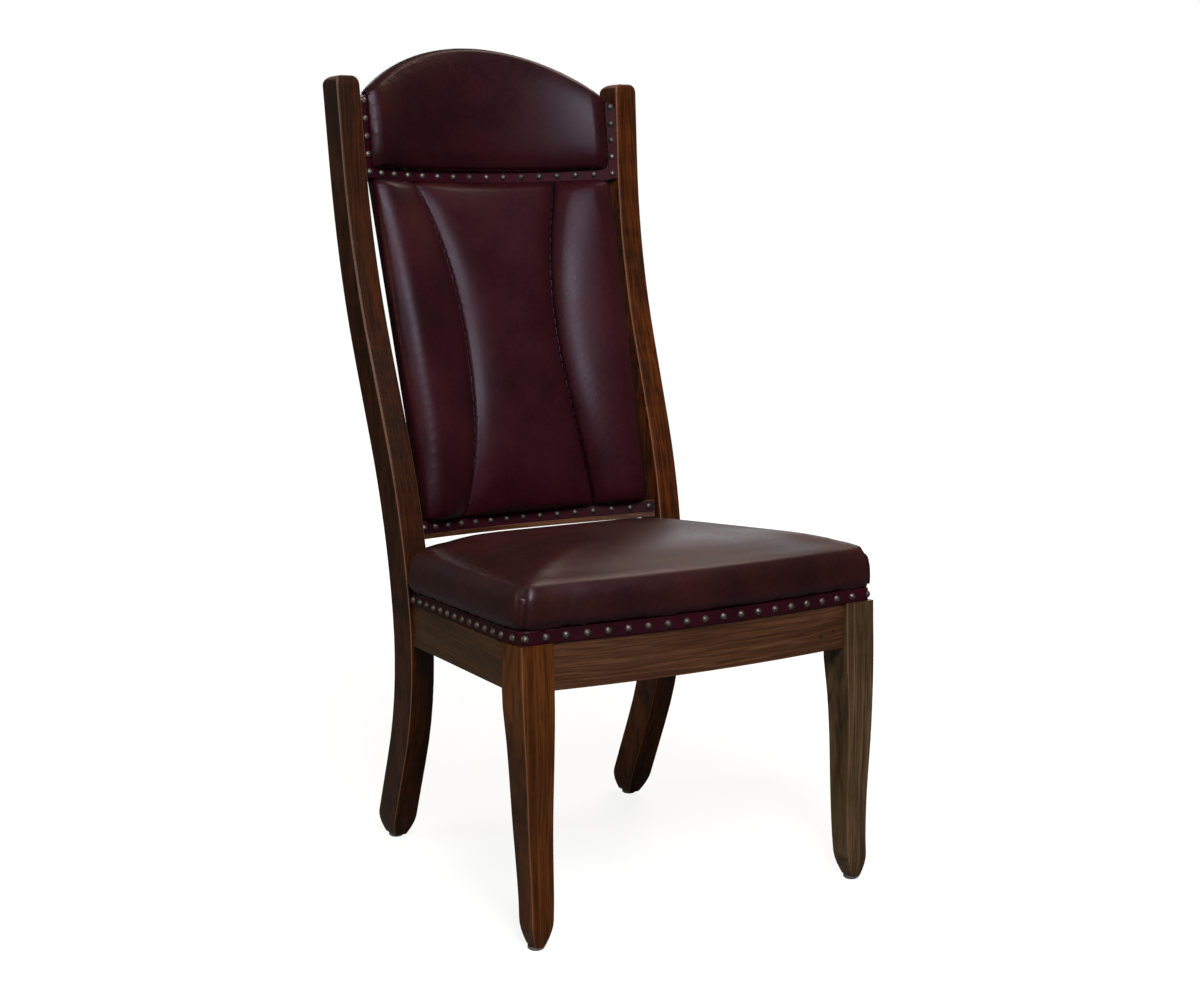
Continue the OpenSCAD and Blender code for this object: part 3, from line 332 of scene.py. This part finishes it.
shine = maths(wood, "MULTIPLY", remap(wood, ripple, 0.42, 0.62, 0, 1), given["Ripple"])
base = blend(wood, shine, base, given["Light"])
speck = remap(wood, pores, 0.5, 0.62, 0, 0.7)
wood.links.new(blend(wood, speck, base, given["Dark"]), result["Color"])
wood.links.new(remap(wood, body, 0.35, 0.65, 0.42, 0.32), result["Roughness"])
height = maths(wood, "SUBTRACT", maths(wood, "MULTIPLY", rings, 0.3), speck)
wood.links.new(height, result["Height"])
print("wood group:", len(wood.nodes), "nodes")


# %% Wood materials
def painted_edge_highlight(tree, colour, share):
    # A pale painted highlight along a rounded edge, where the surface faces between two sides
    way = add(tree, "SeparateXYZ", Vector=add(tree, "TexCoord").outputs["Normal"]).outputs["X"]
    sideways = maths(tree, "MULTIPLY", way, way)
    between = maths(tree, "MULTIPLY", sideways, maths(tree, "SUBTRACT", 1.0, sideways))
    edge_highlight_tint = paint(150, 104, 84)
    return blend(tree, remap(tree, between, 0.1, 0.22, 0, share), colour, edge_highlight_tint)


def dark_knot(tree, colour, spot):
    gap = add(tree, "VectorMath", {"operation": "DISTANCE"}, Vector=object_place(tree))
    feed(tree, gap.inputs[1], spot)
    core, rim = 0.0014, 0.0028
    return blend(tree, remap(tree, gap.outputs["Value"], core, rim, 0.9, 0), colour, paint(14, 7, 5))


def cherry(name, turn, dark, middle, light, figure, ripple, shift=(0, 0, 0), coat=0.06,
           squeeze=(1, 1, 1), edge_highlight=0.0, knots=()):
    # The squeeze slows the pattern along one axis, so a curved side doesn't cut it into dashes
    material, tree, shader = shaded(name)
    turned = add(tree, "Mapping", Vector=object_place(tree), Rotation=turn, Location=shift, Scale=squeeze)
    made = add(tree, "Group", {"node_tree": wood}, Vector=turned.outputs[0], Dark=dark, Middle=middle,
               Light=light, Figure=figure, Ripple=ripple)
    bump = add(tree, "Bump", Height=made.outputs["Height"], Distance=0.00015, Strength=0.5)
    colour = made.outputs["Color"]
    # The rounded edges get a pale painted highlight
    if edge_highlight:
        colour = painted_edge_highlight(tree, colour, edge_highlight)
    for spot in knots:
        colour = dark_knot(tree, colour, spot)
    tree.links.new(colour, shader.inputs["Base Color"])
    tree.links.new(made.outputs["Roughness"], shader.inputs["Roughness"])
    tree.links.new(bump.outputs["Normal"], shader.inputs["Normal"])
    shader.inputs["Specular IOR Level"].default_value = 0.2
    shader.inputs["Coat Weight"].default_value = coat
    shader.inputs["Coat Roughness"].default_value = 0.22
    return material


upright, across, along = (0, 0, 0), (0, math.pi / 2, 0), (math.pi / 2, 0, 0)
bowed, tapered = (1, 0.14, 1), (0.14, 1, 1)
front_rail_knots = ((0.1911, -0.3328, 0.3619), (0.2147, -0.3293, 0.367))
post_wood = cherry("post_wood", upright, paint(34, 13, 1), paint(72, 31, 8), paint(116, 56, 14),
                   figure=0.7, ripple=0.2, squeeze=bowed, edge_highlight=0.6)
dark_post_wood = cherry("dark_post_wood", upright, paint(27, 10, 1), paint(50, 20, 4), paint(84, 38, 10),
                        figure=0.7, ripple=0.2, shift=(0.2, 0.7, 0.3), squeeze=bowed, edge_highlight=0.5)
leg_wood = cherry("leg_wood", upright, paint(50, 22, 4), paint(84, 42, 11), paint(118, 64, 22),
                  figure=0.6, ripple=0.1, squeeze=bowed, edge_highlight=0.4)
# This leg's paler, greyer tones are painted sheen on its front
sheen_painted_leg_wood = cherry("sheen_painted_leg_wood", upright, paint(54, 37, 20), paint(92, 70, 47), paint(124, 98, 70),
                       figure=0.6, ripple=0.1, shift=(0.4, 0.3, 0.1), squeeze=bowed, edge_highlight=0.3)
rail_wood = cherry("rail_wood", across, paint(60, 33, 19), paint(94, 59, 39), paint(118, 78, 54),
                   figure=0.7, ripple=0.0, squeeze=bowed, knots=front_rail_knots)
side_rail_wood = cherry("side_rail_wood", along, paint(46, 24, 5), paint(78, 44, 13), paint(104, 64, 22),
                        figure=0.6, ripple=0.0, squeeze=tapered)
hidden_wood = cherry("hidden_wood", upright, paint(120, 84, 52), paint(160, 120, 80), paint(190, 150, 104),
                     figure=0.5, ripple=0.2, coat=0.0)
ply_wood = cherry("ply_wood", across, paint(140, 104, 66), paint(176, 138, 94), paint(200, 164, 116),
                  figure=0.5, ripple=0.2, coat=0.0)
print("woods are made")


# %% [markdown]
# ## Metal and cloth
# The nails are domes with an antique finish, cloudy between a dark and a rubbed tone.
# The glides are pale nickel, the hidden screws are steel, and the dust cover is a thin cloth.

# %% Metal and cloth
def metal(name, dark, light, gloss, scale):
    material, tree, shader = shaded(name)
    spots = add(tree, "TexNoise", Vector=object_place(tree), Scale=scale, Detail=3.0).outputs["Fac"]
    tone = blend(tree, remap(tree, spots, 0.4, 0.62, 0, 1), dark, light)
    rough = remap(tree, spots, 0.4, 0.62, gloss + 0.1, gloss - 0.05)
    tree.links.new(tone, shader.inputs["Base Color"])
    tree.links.new(rough, shader.inputs["Roughness"])
    shader.inputs["Metallic"].default_value = 1
    return material


nail_metal = metal("nail_metal", paint(84, 79, 74), paint(132, 125, 118), gloss=0.54, scale=260.0)
glide_metal = metal("glide_metal", paint(170, 172, 174), paint(214, 216, 218), gloss=0.3, scale=120.0)
screw_steel = metal("screw_steel", paint(150, 150, 152), paint(196, 196, 198), gloss=0.28, scale=160.0)

dust_cloth, tree, shader = shaded("dust_cloth")
place = object_place(tree)
lengthwise = add(tree, "TexWave", {"bands_direction": "X"}, Vector=place, Scale=300.0).outputs["Fac"]
crosswise = add(tree, "TexWave", {"bands_direction": "Y"}, Vector=place, Scale=300.0).outputs["Fac"]
weave = maths(tree, "MULTIPLY", lengthwise, crosswise)
tree.links.new(blend(tree, weave, paint(14, 14, 15), paint(34, 34, 36)), shader.inputs["Base Color"])
tree.links.new(add(tree, "Bump", Height=weave, Distance=0.0002).outputs["Normal"], shader.inputs["Normal"])
shader.inputs["Roughness"].default_value = 0.9
print("metals and cloth are made")

# %% [markdown]
# ## Dress the frame
# Each piece of the frame keeps its shape and gets its finish. The grain runs along each piece:
# up the posts and legs, across the front, rear and lower back rails, and front to back in the
# side rails. The right post differs in tone, and the left front leg is painted paler for sheen.

# %% Dress the frame
slot_looks = {
    "show_wood": post_wood,
    "frame_wood": hidden_wood,
    "plywood": ply_wood,
    "seat_leather": seat_leather,
    "back_leather": back_leather,
    "crest_leather": crest_leather,
    "outside_leather": outside_leather,
    "band_leather": band_leather,
    "nail_metal": nail_metal,
    "glide_metal": glide_metal,
    "screw_steel": screw_steel,
    "dust_cloth": dust_cloth,
}
own_looks = {
    "back_post_right": dark_post_wood,
    "front_leg_left": sheen_painted_leg_wood,
    "front_leg_right": leg_wood,
    "front_seat_rail": rail_wood,
    "rear_seat_rail": rail_wood,
    "lower_back_rail": rail_wood,
    "left_seat_rail": side_rail_wood,
    "right_seat_rail": side_rail_wood,
}
for part in frame["record"]["subparts"]:
    piece = nodes[part["node"]]
    piece.data.materials.clear()
    piece.data.materials.append(own_looks.get(part["node"], slot_looks[part["material_slot"]]))

# %% [markdown]
# ## Working a soft piece
# Foam under leather starts from the plain form of the frame. It is turned into an even mesh of
# small squares, one subdivision smooths it, and then its points are moved for the seams, folds
# and rounded edges. The seat and the back are first blown up a little by a short cloth
# simulation, against the points that are tacked down. These helpers do those moves.

# %% Soft helpers
weld = 0.00005
stay = Vector((0, 0, 0))
faces_rear = 0.35


def limited(share):
    return min(1, max(0, share))


def only(piece):
    bpy.ops.object.select_all(action="DESELECT")
    piece.select_set(True)
    bpy.context.view_layer.objects.active = piece


def finish_modifier(piece, kind, **settings):
    only(piece)
    modifier = piece.modifiers.new(kind.lower(), kind)
    for key, value in settings.items():
        setattr(modifier, key, value)
    bpy.ops.object.modifier_apply(modifier=modifier.name)


def reshape(piece, move):
    # Moves every point by what move(point, normal) says, with all normals read beforehand
    mesh = piece.data
    points = [v.co.copy() for v in mesh.vertices]
    ways = [v.normal.copy() for v in mesh.vertices]
    flat = np.empty(len(points) * 3)
    for index, (point, way) in enumerate(zip(points, ways)):
        flat[3 * index:3 * index + 3] = point + move(point, way)
    mesh.vertices.foreach_set("co", flat)
    mesh.update()


def plain_copy(name, source):
    # A copy of a frame piece with its points welded, left in edit mode with all of it selected
    piece = bpy.data.objects.new(name, nodes[source].data.copy())
    scene.collection.objects.link(piece)
    only(piece)
    bpy.ops.object.mode_set(mode="EDIT")
    bpy.ops.mesh.select_all(action="SELECT")
    bpy.ops.mesh.remove_doubles(threshold=weld)
    return piece


def surface_of(source):
    return BVHTree.FromObject(nodes[source], bpy.context.evaluated_depsgraph_get())


def soft_copy(name, source, voxel, shrink, slope=0.0):
    # The edges sharper than 50 degrees are creased, so that the subdivision keeps them
    piece = plain_copy(name, source)
    bpy.ops.mesh.tris_convert_to_quads(face_threshold=math.radians(60), shape_threshold=math.radians(60))
    bpy.ops.mesh.select_all(action="DESELECT")
    bpy.ops.mesh.select_mode(type="EDGE")
    bpy.ops.mesh.edges_select_sharp(sharpness=math.radians(50))
    bpy.ops.transform.edge_crease(value=1)
    bpy.ops.object.mode_set(mode="OBJECT")
    finish_modifier(piece, "SUBSURF", levels=2, render_levels=2)
    # A sloping piece is levelled while it is cut into squares, so its lower edge has no steps
    reshape(piece, lambda point, way: Vector((0, 0, point.y * slope)))
    finish_modifier(piece, "REMESH", mode="VOXEL", voxel_size=voxel)
    finish_modifier(piece, "SMOOTH", factor=0.5, iterations=6)
    reshape(piece, lambda point, way: way * -shrink - Vector((0, 0, point.y * slope)))
    print(name, "has", len(piece.data.polygons), "squares")
    return piece


def over_board(source, half_width):
    # Returns a function that measures how far a point stands in front of a board. A point
    # beside the board is measured at the board's side.
    board = surface_of(source)
    inset, step_back, farthest = 0.002, 0.0005, 0.2

    def stands(point):
        limit = half_width(point.z) - inset
        start = Vector((max(-limit, min(limit, point.x)), point.y, point.z))
        hit = board.ray_cast(start - Vector((0, step_back, 0)), Vector((0, 1, 0)), farthest)[0]
        return 0.0 if hit is None else hit.y - point.y
    return stands


def rolled(distance, width):
    # 1 on an edge, falling to 0 at a width inside it, as the side of a rounded edge does
    u = limited(1 - distance / width)
    return 1 - math.sqrt(1 - u * u)


def fill_out(piece, main, grow, neighbours, smooth=3, gap=0.0004, share=lambda point: 1):
    # The edges grow until they press against what is beside them. The broad face, which looks
    # along the axis called main, and the rear stay.
    broad_starts, ramp, rear_starts = 0.96, 0.25, 0.2

    def swell(point, way):
        rear = way.y if main == 1 else -way.z
        sideways = limited((broad_starts - abs(way[main])) / ramp)
        return way * (grow * share(point) * sideways * (rear < rear_starts))

    reshape(piece, swell)
    finish_modifier(piece, "SMOOTH", factor=0.5, iterations=smooth)
    shapes = [surface_of(name) for name in neighbours]
    reach = 0.005

    def press(point, way):
        placed = point.copy()
        for shape in shapes:
            near, out = shape.find_nearest(placed, reach)[:2]
            if near is not None and (placed - near).dot(out) < gap:
                placed = near + out * gap
        return placed - point

    reshape(piece, press)
    finish_modifier(piece, "SMOOTH", factor=0.4, iterations=2)


def inflate(piece, held, cap, pressure):
    # The points that held picks stay, and no other point moves by more than the cap
    last_frame, evening_turns = 20, 10
    before = np.empty(len(piece.data.vertices) * 3)
    piece.data.vertices.foreach_get("co", before)
    tacks = piece.vertex_groups.new(name="held")
    tacks.add([v.index for v in piece.data.vertices if held(v.co, v.normal)], 1.0, "REPLACE")
    only(piece)
    cloth = piece.modifiers.new("cloth", "CLOTH")
    cloth.settings.use_pressure = True
    cloth.settings.uniform_pressure_force = pressure
    cloth.settings.vertex_group_mass = "held"
    cloth.settings.effector_weights.gravity = 0
    cloth.settings.bending_stiffness = 2.0
    cloth.point_cache.frame_start = 1
    cloth.point_cache.frame_end = last_frame
    for step in range(1, last_frame + 1):
        scene.frame_set(step)
    bpy.ops.object.modifier_apply(modifier=cloth.name)
    scene.frame_set(1)
    after = np.empty(len(before))
    piece.data.vertices.foreach_get("co", after)
    ways = (after - before).reshape(-1, 3)
    reach = np.linalg.norm(ways, axis=1)
    ways *= (np.minimum(reach, cap) / np.maximum(reach, 1e-9))[:, None]
    # The swelling is evened out between neighbours, which leaves the fullness and no wrinkles
    pairs = np.empty(len(piece.data.edges) * 2, dtype=int)
    piece.data.edges.foreach_get("vertices", pairs)
    first, second = pairs.reshape(-1, 2).T
    links = np.bincount(pairs, minlength=len(ways))[:, None]
    for turn in range(evening_turns):
        around = np.zeros_like(ways)
        np.add.at(around, first, ways[second])
        np.add.at(around, second, ways[first])
        ways = 0.5 * ways + 0.5 * around / links
    piece.data.vertices.foreach_set("co", before + ways.ravel())
    piece.data.update()
    print(piece.name, "swelled by up to", round(reach.max() * 1000, 1), "mm, kept to", cap * 1000)


def mark_seam(piece, amount):
    # Writes the painted shade of a seam groove or a pleat fold at each point, which the leather reads
    crease_shade_line = piece.data.attributes.new("seam", "FLOAT", "POINT")
    for index, vertex in enumerate(piece.data.vertices):
        crease_shade_line.data[index].value = amount(index, vertex.co)


def finish_soft(piece, material, nodes_replaced):
    piece.data.materials.clear()
    piece.data.materials.append(material)
    only(piece)
    bpy.ops.object.shade_smooth()
    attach(piece, "root")
    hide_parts(*nodes_replaced)
    print(piece.name, "finished with", len(piece.data.polygons), "faces")


# %% [markdown]
# ## The seat
# The seat is foam on a board, crowned in the middle, with leather pulled down its sides to the
# band. Where the side and front meet, the spare leather is folded into one pleat at the corner.
# The sides are tacked at their foot, so the simulation fills only what is above.

# %% Seat cushion
frame_top_z, frame_front_y, frame_fall = 0.404, -0.33286, 3.2
corner_x, corner_y = 0.2725, -0.31986
tack_line = 0.018
slope = math.tan(math.radians(frame_fall))
seat = soft_copy("seat_pad", "seat_cushion", voxel=0.006, shrink=0.001, slope=slope)


def seat_rise(point):
    # Height above the sloping plane of the seat frame
    return point.z - (frame_top_z - (point.y - frame_front_y) * slope)


def seat_held(point, way):
    # The foot of the sides is tacked, and so is each rear corner, beside its post
    tacked_height, post_front_y, post_side_x = 0.026, 0.09, 0.18
    return seat_rise(point) < tacked_height or point.y > post_front_y and abs(point.x) > post_side_x


def front_corner(side):
    # Where a front corner stands, the way out of it, and the way across the pleat
    out = Vector((side, -1, 0)).normalized()
    return Vector((side * corner_x, corner_y, 0)), out, Vector((-out.y, out.x, 0))


def pleat_pull(point):
    # The share by which the leather is drawn in: 1 at the fold of a pleat, 0 away from it. It
    # fades in above the low end and fades out below the top end.
    inner_limit, half_width = -0.004, 0.006
    low_end, low_fade, top_end, top_fade = 0.022, 0.012, 0.092, 0.02
    rise = seat_rise(point)
    depth = 0.0
    for corner, out, across_fold in map(front_corner, (-1, 1)):
        flat = point - corner
        if flat.dot(out) > inner_limit:
            beside = math.exp(-(flat.dot(across_fold) / half_width) ** 2)
            below_top = limited((top_end - rise) / top_fade)
            above_low = limited((rise - low_end) / low_fade)
            depth = max(depth, beside * below_top * above_low)
    return depth


def seat_folds(point, way):
    # Soft folds that rise from the tacks and fade out up the side, the pleats, and a lower
    # edge that hangs down a little over the band
    fold_depth, fold_height, fold_start = 0.0014, 0.022, 0.01
    along_rate, up_rate = 42, 9
    hang, hang_rise, hang_height, faces_up = 0.002, 0.019, 0.008, 0.6
    pleat_depth = 0.0036
    rise = seat_rise(point)
    near = math.exp(-max(0, rise - tack_line) / fold_height)
    wrinkle = noise.noise(Vector((point.x * along_rate, point.y * along_rate, rise * up_rate)))
    droop = hang * max(0, 1 - abs(rise - hang_rise) / hang_height) * (way.z < faces_up)
    near *= limited((rise - tack_line) / fold_start)
    return way * (fold_depth * wrinkle * near - pleat_depth * pleat_pull(point)) - Vector((0, 0, droop))


def seat_share(point):
    # The lower edge grows by half as much as the sides above it
    lowest_share, full_height = 0.5, 0.014
    return min(1, max(lowest_share, (seat_rise(point) - tack_line) / full_height))


inflate(seat, seat_held, cap=0.002, pressure=4.0)
finish_modifier(seat, "SUBSURF", levels=1, render_levels=1)
reshape(seat, seat_folds)
fill_out(seat, main=2, grow=0.003, smooth=2, share=seat_share,
         neighbours=["seat_band", "seat_board", "back_post_left", "back_post_right"])
# Painted shade darkens the fold of each pleat on the cushion
mark_seam(seat, lambda index, point: 0.8 * max(0, pleat_pull(point) - 0.5))
finish_soft(seat, seat_leather, ["seat_cushion"])

# %% [markdown]
# ## The pleats
# Each pleat is a double fold of leather that lies on the corner, with a small loop at its top.
# It is a strip of squares whose middle row stays low between two raised rows, laid on the
# corner by a Shrinkwrap modifier, so it follows the cushion however that swelled.

# %% Pleats
def pleat(name, side):
    width, height, columns, rows = 0.0074, 0.066, 8, 26
    start_out, start_rise, ridge_height = 0.03, 0.0165, 0.003
    bpy.ops.mesh.primitive_grid_add(x_subdivisions=columns, y_subdivisions=rows, size=1)
    piece = bpy.context.object
    piece.name = name
    foot, out, across_fold = front_corner(side)
    low = frame_top_z + start_rise
    for vertex in piece.data.vertices:
        # u runs from -1 to 1 across the strip, and v from 0 to 1 up it. The strip narrows
        # towards its top, which is rounded.
        u, v = vertex.co.x * 2, vertex.co.y + 0.5
        taper = 1 - 0.45 * v - 0.5 * max(0, (v - 0.93) / 0.07) ** 2
        sideways = across_fold * (u * width / 2 * taper)
        vertex.co = foot + out * start_out + sideways + Vector((0, 0, low + v * height))
    finish_modifier(piece, "SHRINKWRAP", target=seat, wrap_method="NEAREST_SURFACEPOINT",
                    wrap_mode="ABOVE_SURFACE", offset=0.0002)
    for index, vertex in enumerate(piece.data.vertices):
        # Two ridges run up midway between the fold and the edges, and the loop joins their tops
        column, row = index % (columns + 1), index // (columns + 1)
        u = column / columns * 2 - 1
        v = row / rows
        ridge = math.exp(-((abs(u) - 0.5) / 0.28) ** 2)
        loop = math.exp(-((v - 0.95) / 0.05) ** 2) * math.exp(-(u / 0.6) ** 2)
        vertex.co += out * (ridge_height * max(ridge, loop) * min(1, (1.02 - v) / 0.06))

    # The middle row along the fold gets painted shade
    def in_the_fold(index, point):
        return 1.0 * (index % (columns + 1) == columns // 2 and index < rows * 0.9 * (columns + 1))

    mark_seam(piece, in_the_fold)
    finish_modifier(piece, "SOLIDIFY", thickness=0.0012, offset=-1)
    finish_modifier(piece, "SUBSURF", levels=1, render_levels=1)
    piece.data.materials.append(seat_leather)
    only(piece)
    bpy.ops.object.shade_smooth()
    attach(piece, "root")
    print(name, "has", len(piece.data.polygons), "faces")


pleat("pleat_right", -1)
pleat("pleat_left", 1)

# %% [markdown]
# ## The back
# The back is one pad sewn into three channels by two seams that bow in at the waist. The pad
# is held along its seams, its edges and its rear face, so each channel swells by itself. The
# seams are then pressed in as narrow grooves, because the even mesh can't hold anything finer.

# %% Back cushion
back = soft_copy("back_pad", "back_cushion", voxel=0.0045, shrink=0.0005)
foot_z, head_z, waist_z = 0.49353, 0.9876, 0.752
waist_x, more_at_head, more_at_foot = 0.080, 0.044, 0.033
panel_foot_z, panel_foot_half, panel_widening = 0.486, 0.1912, 0.0262


def seam_x(z):
    if z > waist_z:
        return waist_x + more_at_head * ((z - waist_z) / (head_z - waist_z)) ** 2
    return waist_x + more_at_foot * ((waist_z - z) / (waist_z - foot_z)) ** 2


def from_seam(point):
    return abs(point.x) - seam_x(point.z)


def back_held(point, way):
    # The ends, the sides, the rear and the seams stay, and the open fronts of the channels swell
    faces_front, seam_half = -0.2, 0.004
    return way.y > faces_front or abs(from_seam(point)) < seam_half


def panel_half(z):
    # Half the width of the bent panel, which widens towards its head
    return panel_foot_half + panel_widening * (z - panel_foot_z)


inflate(back, back_held, cap=0.0025, pressure=5.0)
finish_modifier(back, "SUBSURF", levels=1, render_levels=1)
pad_stands = over_board("back_panel", panel_half)


def pull_seam(point, way):
    # A wide soft valley with a narrow sewn crease at its foot, and a soft roll at each side. Each
    # takes a share of the pad's thickness there, and none of them goes right through the pad.
    valley_width, crease_width, roll_width, thinnest = 0.016, 0.0036, 0.034, 0.003
    reach = abs(from_seam(point))
    thick = pad_stands(point)
    if thick < thinnest or way.y > faces_rear:
        return stay
    valley = min(0.012, 0.36 * thick) * math.exp(-reach / valley_width)
    crease = min(0.003, 0.1 * thick) * math.exp(-(reach / crease_width) ** 2)
    side = 0.62 * thick * rolled(panel_half(point.z) - abs(point.x), roll_width)
    return Vector((0, min(valley + crease + side, 0.75 * thick), 0))


# Painted shade along the groove of each seam, darkest on its line
def seam_groove_shade(index, point):
    line_width, rear_limit_y = 0.0022, 0.3
    return math.exp(-(from_seam(point) / line_width) ** 2) * (point.y < rear_limit_y)


reshape(back, pull_seam)
fill_out(back, main=1, grow=0.0024,
         neighbours=["lower_back_band", "lower_back_rail", "crest_band", "crest_rail", "back_panel",
                     "back_post_left", "back_post_right"])
mark_seam(back, seam_groove_shade)
finish_soft(back, back_leather, ["back_cushion"])

# %% [markdown]
# ## Turned edges
# The leather is pulled round the sides of the bent plywood, the crest's board and the seat
# board, so no bare edge shows beside the pads. A copy of each board, 0.6 mm fuller all round,
# is that layer of turned leather.

# %% Turned edges
def turned_edge(name, source):
    fuller = 0.0006
    piece = plain_copy(name, source)
    bpy.ops.object.mode_set(mode="OBJECT")
    reshape(piece, lambda point, way: way * fuller)
    bpy.ops.object.shade_smooth_by_angle(angle=math.radians(40))
    piece.data.materials.clear()
    piece.data.materials.append(outside_leather)
    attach(piece, "root")
    print(name, "is", round(piece.dimensions.x * 1000), "mm wide")


turned_edge("panel_wrap", "back_panel")
turned_edge("crest_wrap", "crest_rail")
turned_edge("board_wrap", "seat_board")

# %% [markdown]
# ## The crest
# The crest is a pad over an arched board. Its ends round off softly before the bands at the
# posts, and its lower edge rolls over the nail row, which keeps a dark line under it.

# %% Crest cushion
crest_board_half, crest_pad_half, crest_thick, crest_foot_z = 0.2077, 0.2065, 0.024, 1.008
crest = soft_copy("crest_pad", "crest_cushion", voxel=0.0035, shrink=0.0003)
finish_modifier(crest, "SUBSURF", levels=1, render_levels=1)
crest_stands = over_board("crest_rail", lambda z: crest_board_half)


def crest_roll(point, way):
    # Each end falls to the band in a steep soft slope, and the foot turns under a little. The
    # plain pad's own thickness at this x is divided out, and the wanted one takes its place.
    thinnest, end_drop, end_width, foot_share, foot_width = 0.002, 0.0205, 0.026, 0.25, 0.02
    thick = crest_stands(point)
    if thick < thinnest or way.y > faces_rear:
        return stay
    inside = max(0, crest_pad_half - abs(point.x))
    full = crest_thick * (0.24 + 0.76 * math.sqrt(1 - (1 - inside / crest_pad_half) ** 5))
    wanted = crest_thick - end_drop * max(0, 1 - inside / end_width) ** 2
    foot = foot_share * rolled(point.z - crest_foot_z, foot_width)
    return Vector((0, thick * (1 - wanted / full * (1 - foot)), 0))


reshape(crest, crest_roll)
fill_out(crest, main=1, grow=0.0028,
         neighbours=["crest_band", "crest_rail", "back_post_left", "back_post_right"])
crest_board = surface_of("crest_rail")
lean = math.tan(math.radians(7))
behind_chair_y, low_on_board_z, above_chair_z = 0.5, 1.06, 1.3


def rim_tuck(point, way):
    # The pad turns over the board's top and ends there. Its thin lip behind the board is drawn
    # into the board, where the turned edge covers it. One ray finds the board's rear face from
    # behind, and one finds its top from above.
    up_to_top, half_board, top_margin, top_fade = 0.1, 0.008, 0.003, 0.005
    sink, sink_less_above = 0.004, 0.0048
    rear = Vector((point.x, behind_chair_y, low_on_board_z))
    foot = crest_board.ray_cast(rear, Vector((0, -1, 0)))[0]
    if foot is None:
        return stay
    over = Vector((point.x, foot.y + up_to_top * lean - half_board, above_chair_z))
    crown = crest_board.ray_cast(over, Vector((0, 0, -1)))[0]
    if crown is None:
        return stay
    above = limited((point.z - crown.z + top_margin) / top_fade)
    limit = foot.y + (point.z - foot.z) * lean - sink + sink_less_above * above
    return Vector((0, min(0, limit - point.y), 0))


reshape(crest, rim_tuck)
finish_soft(crest, crest_leather, ["crest_cushion"])
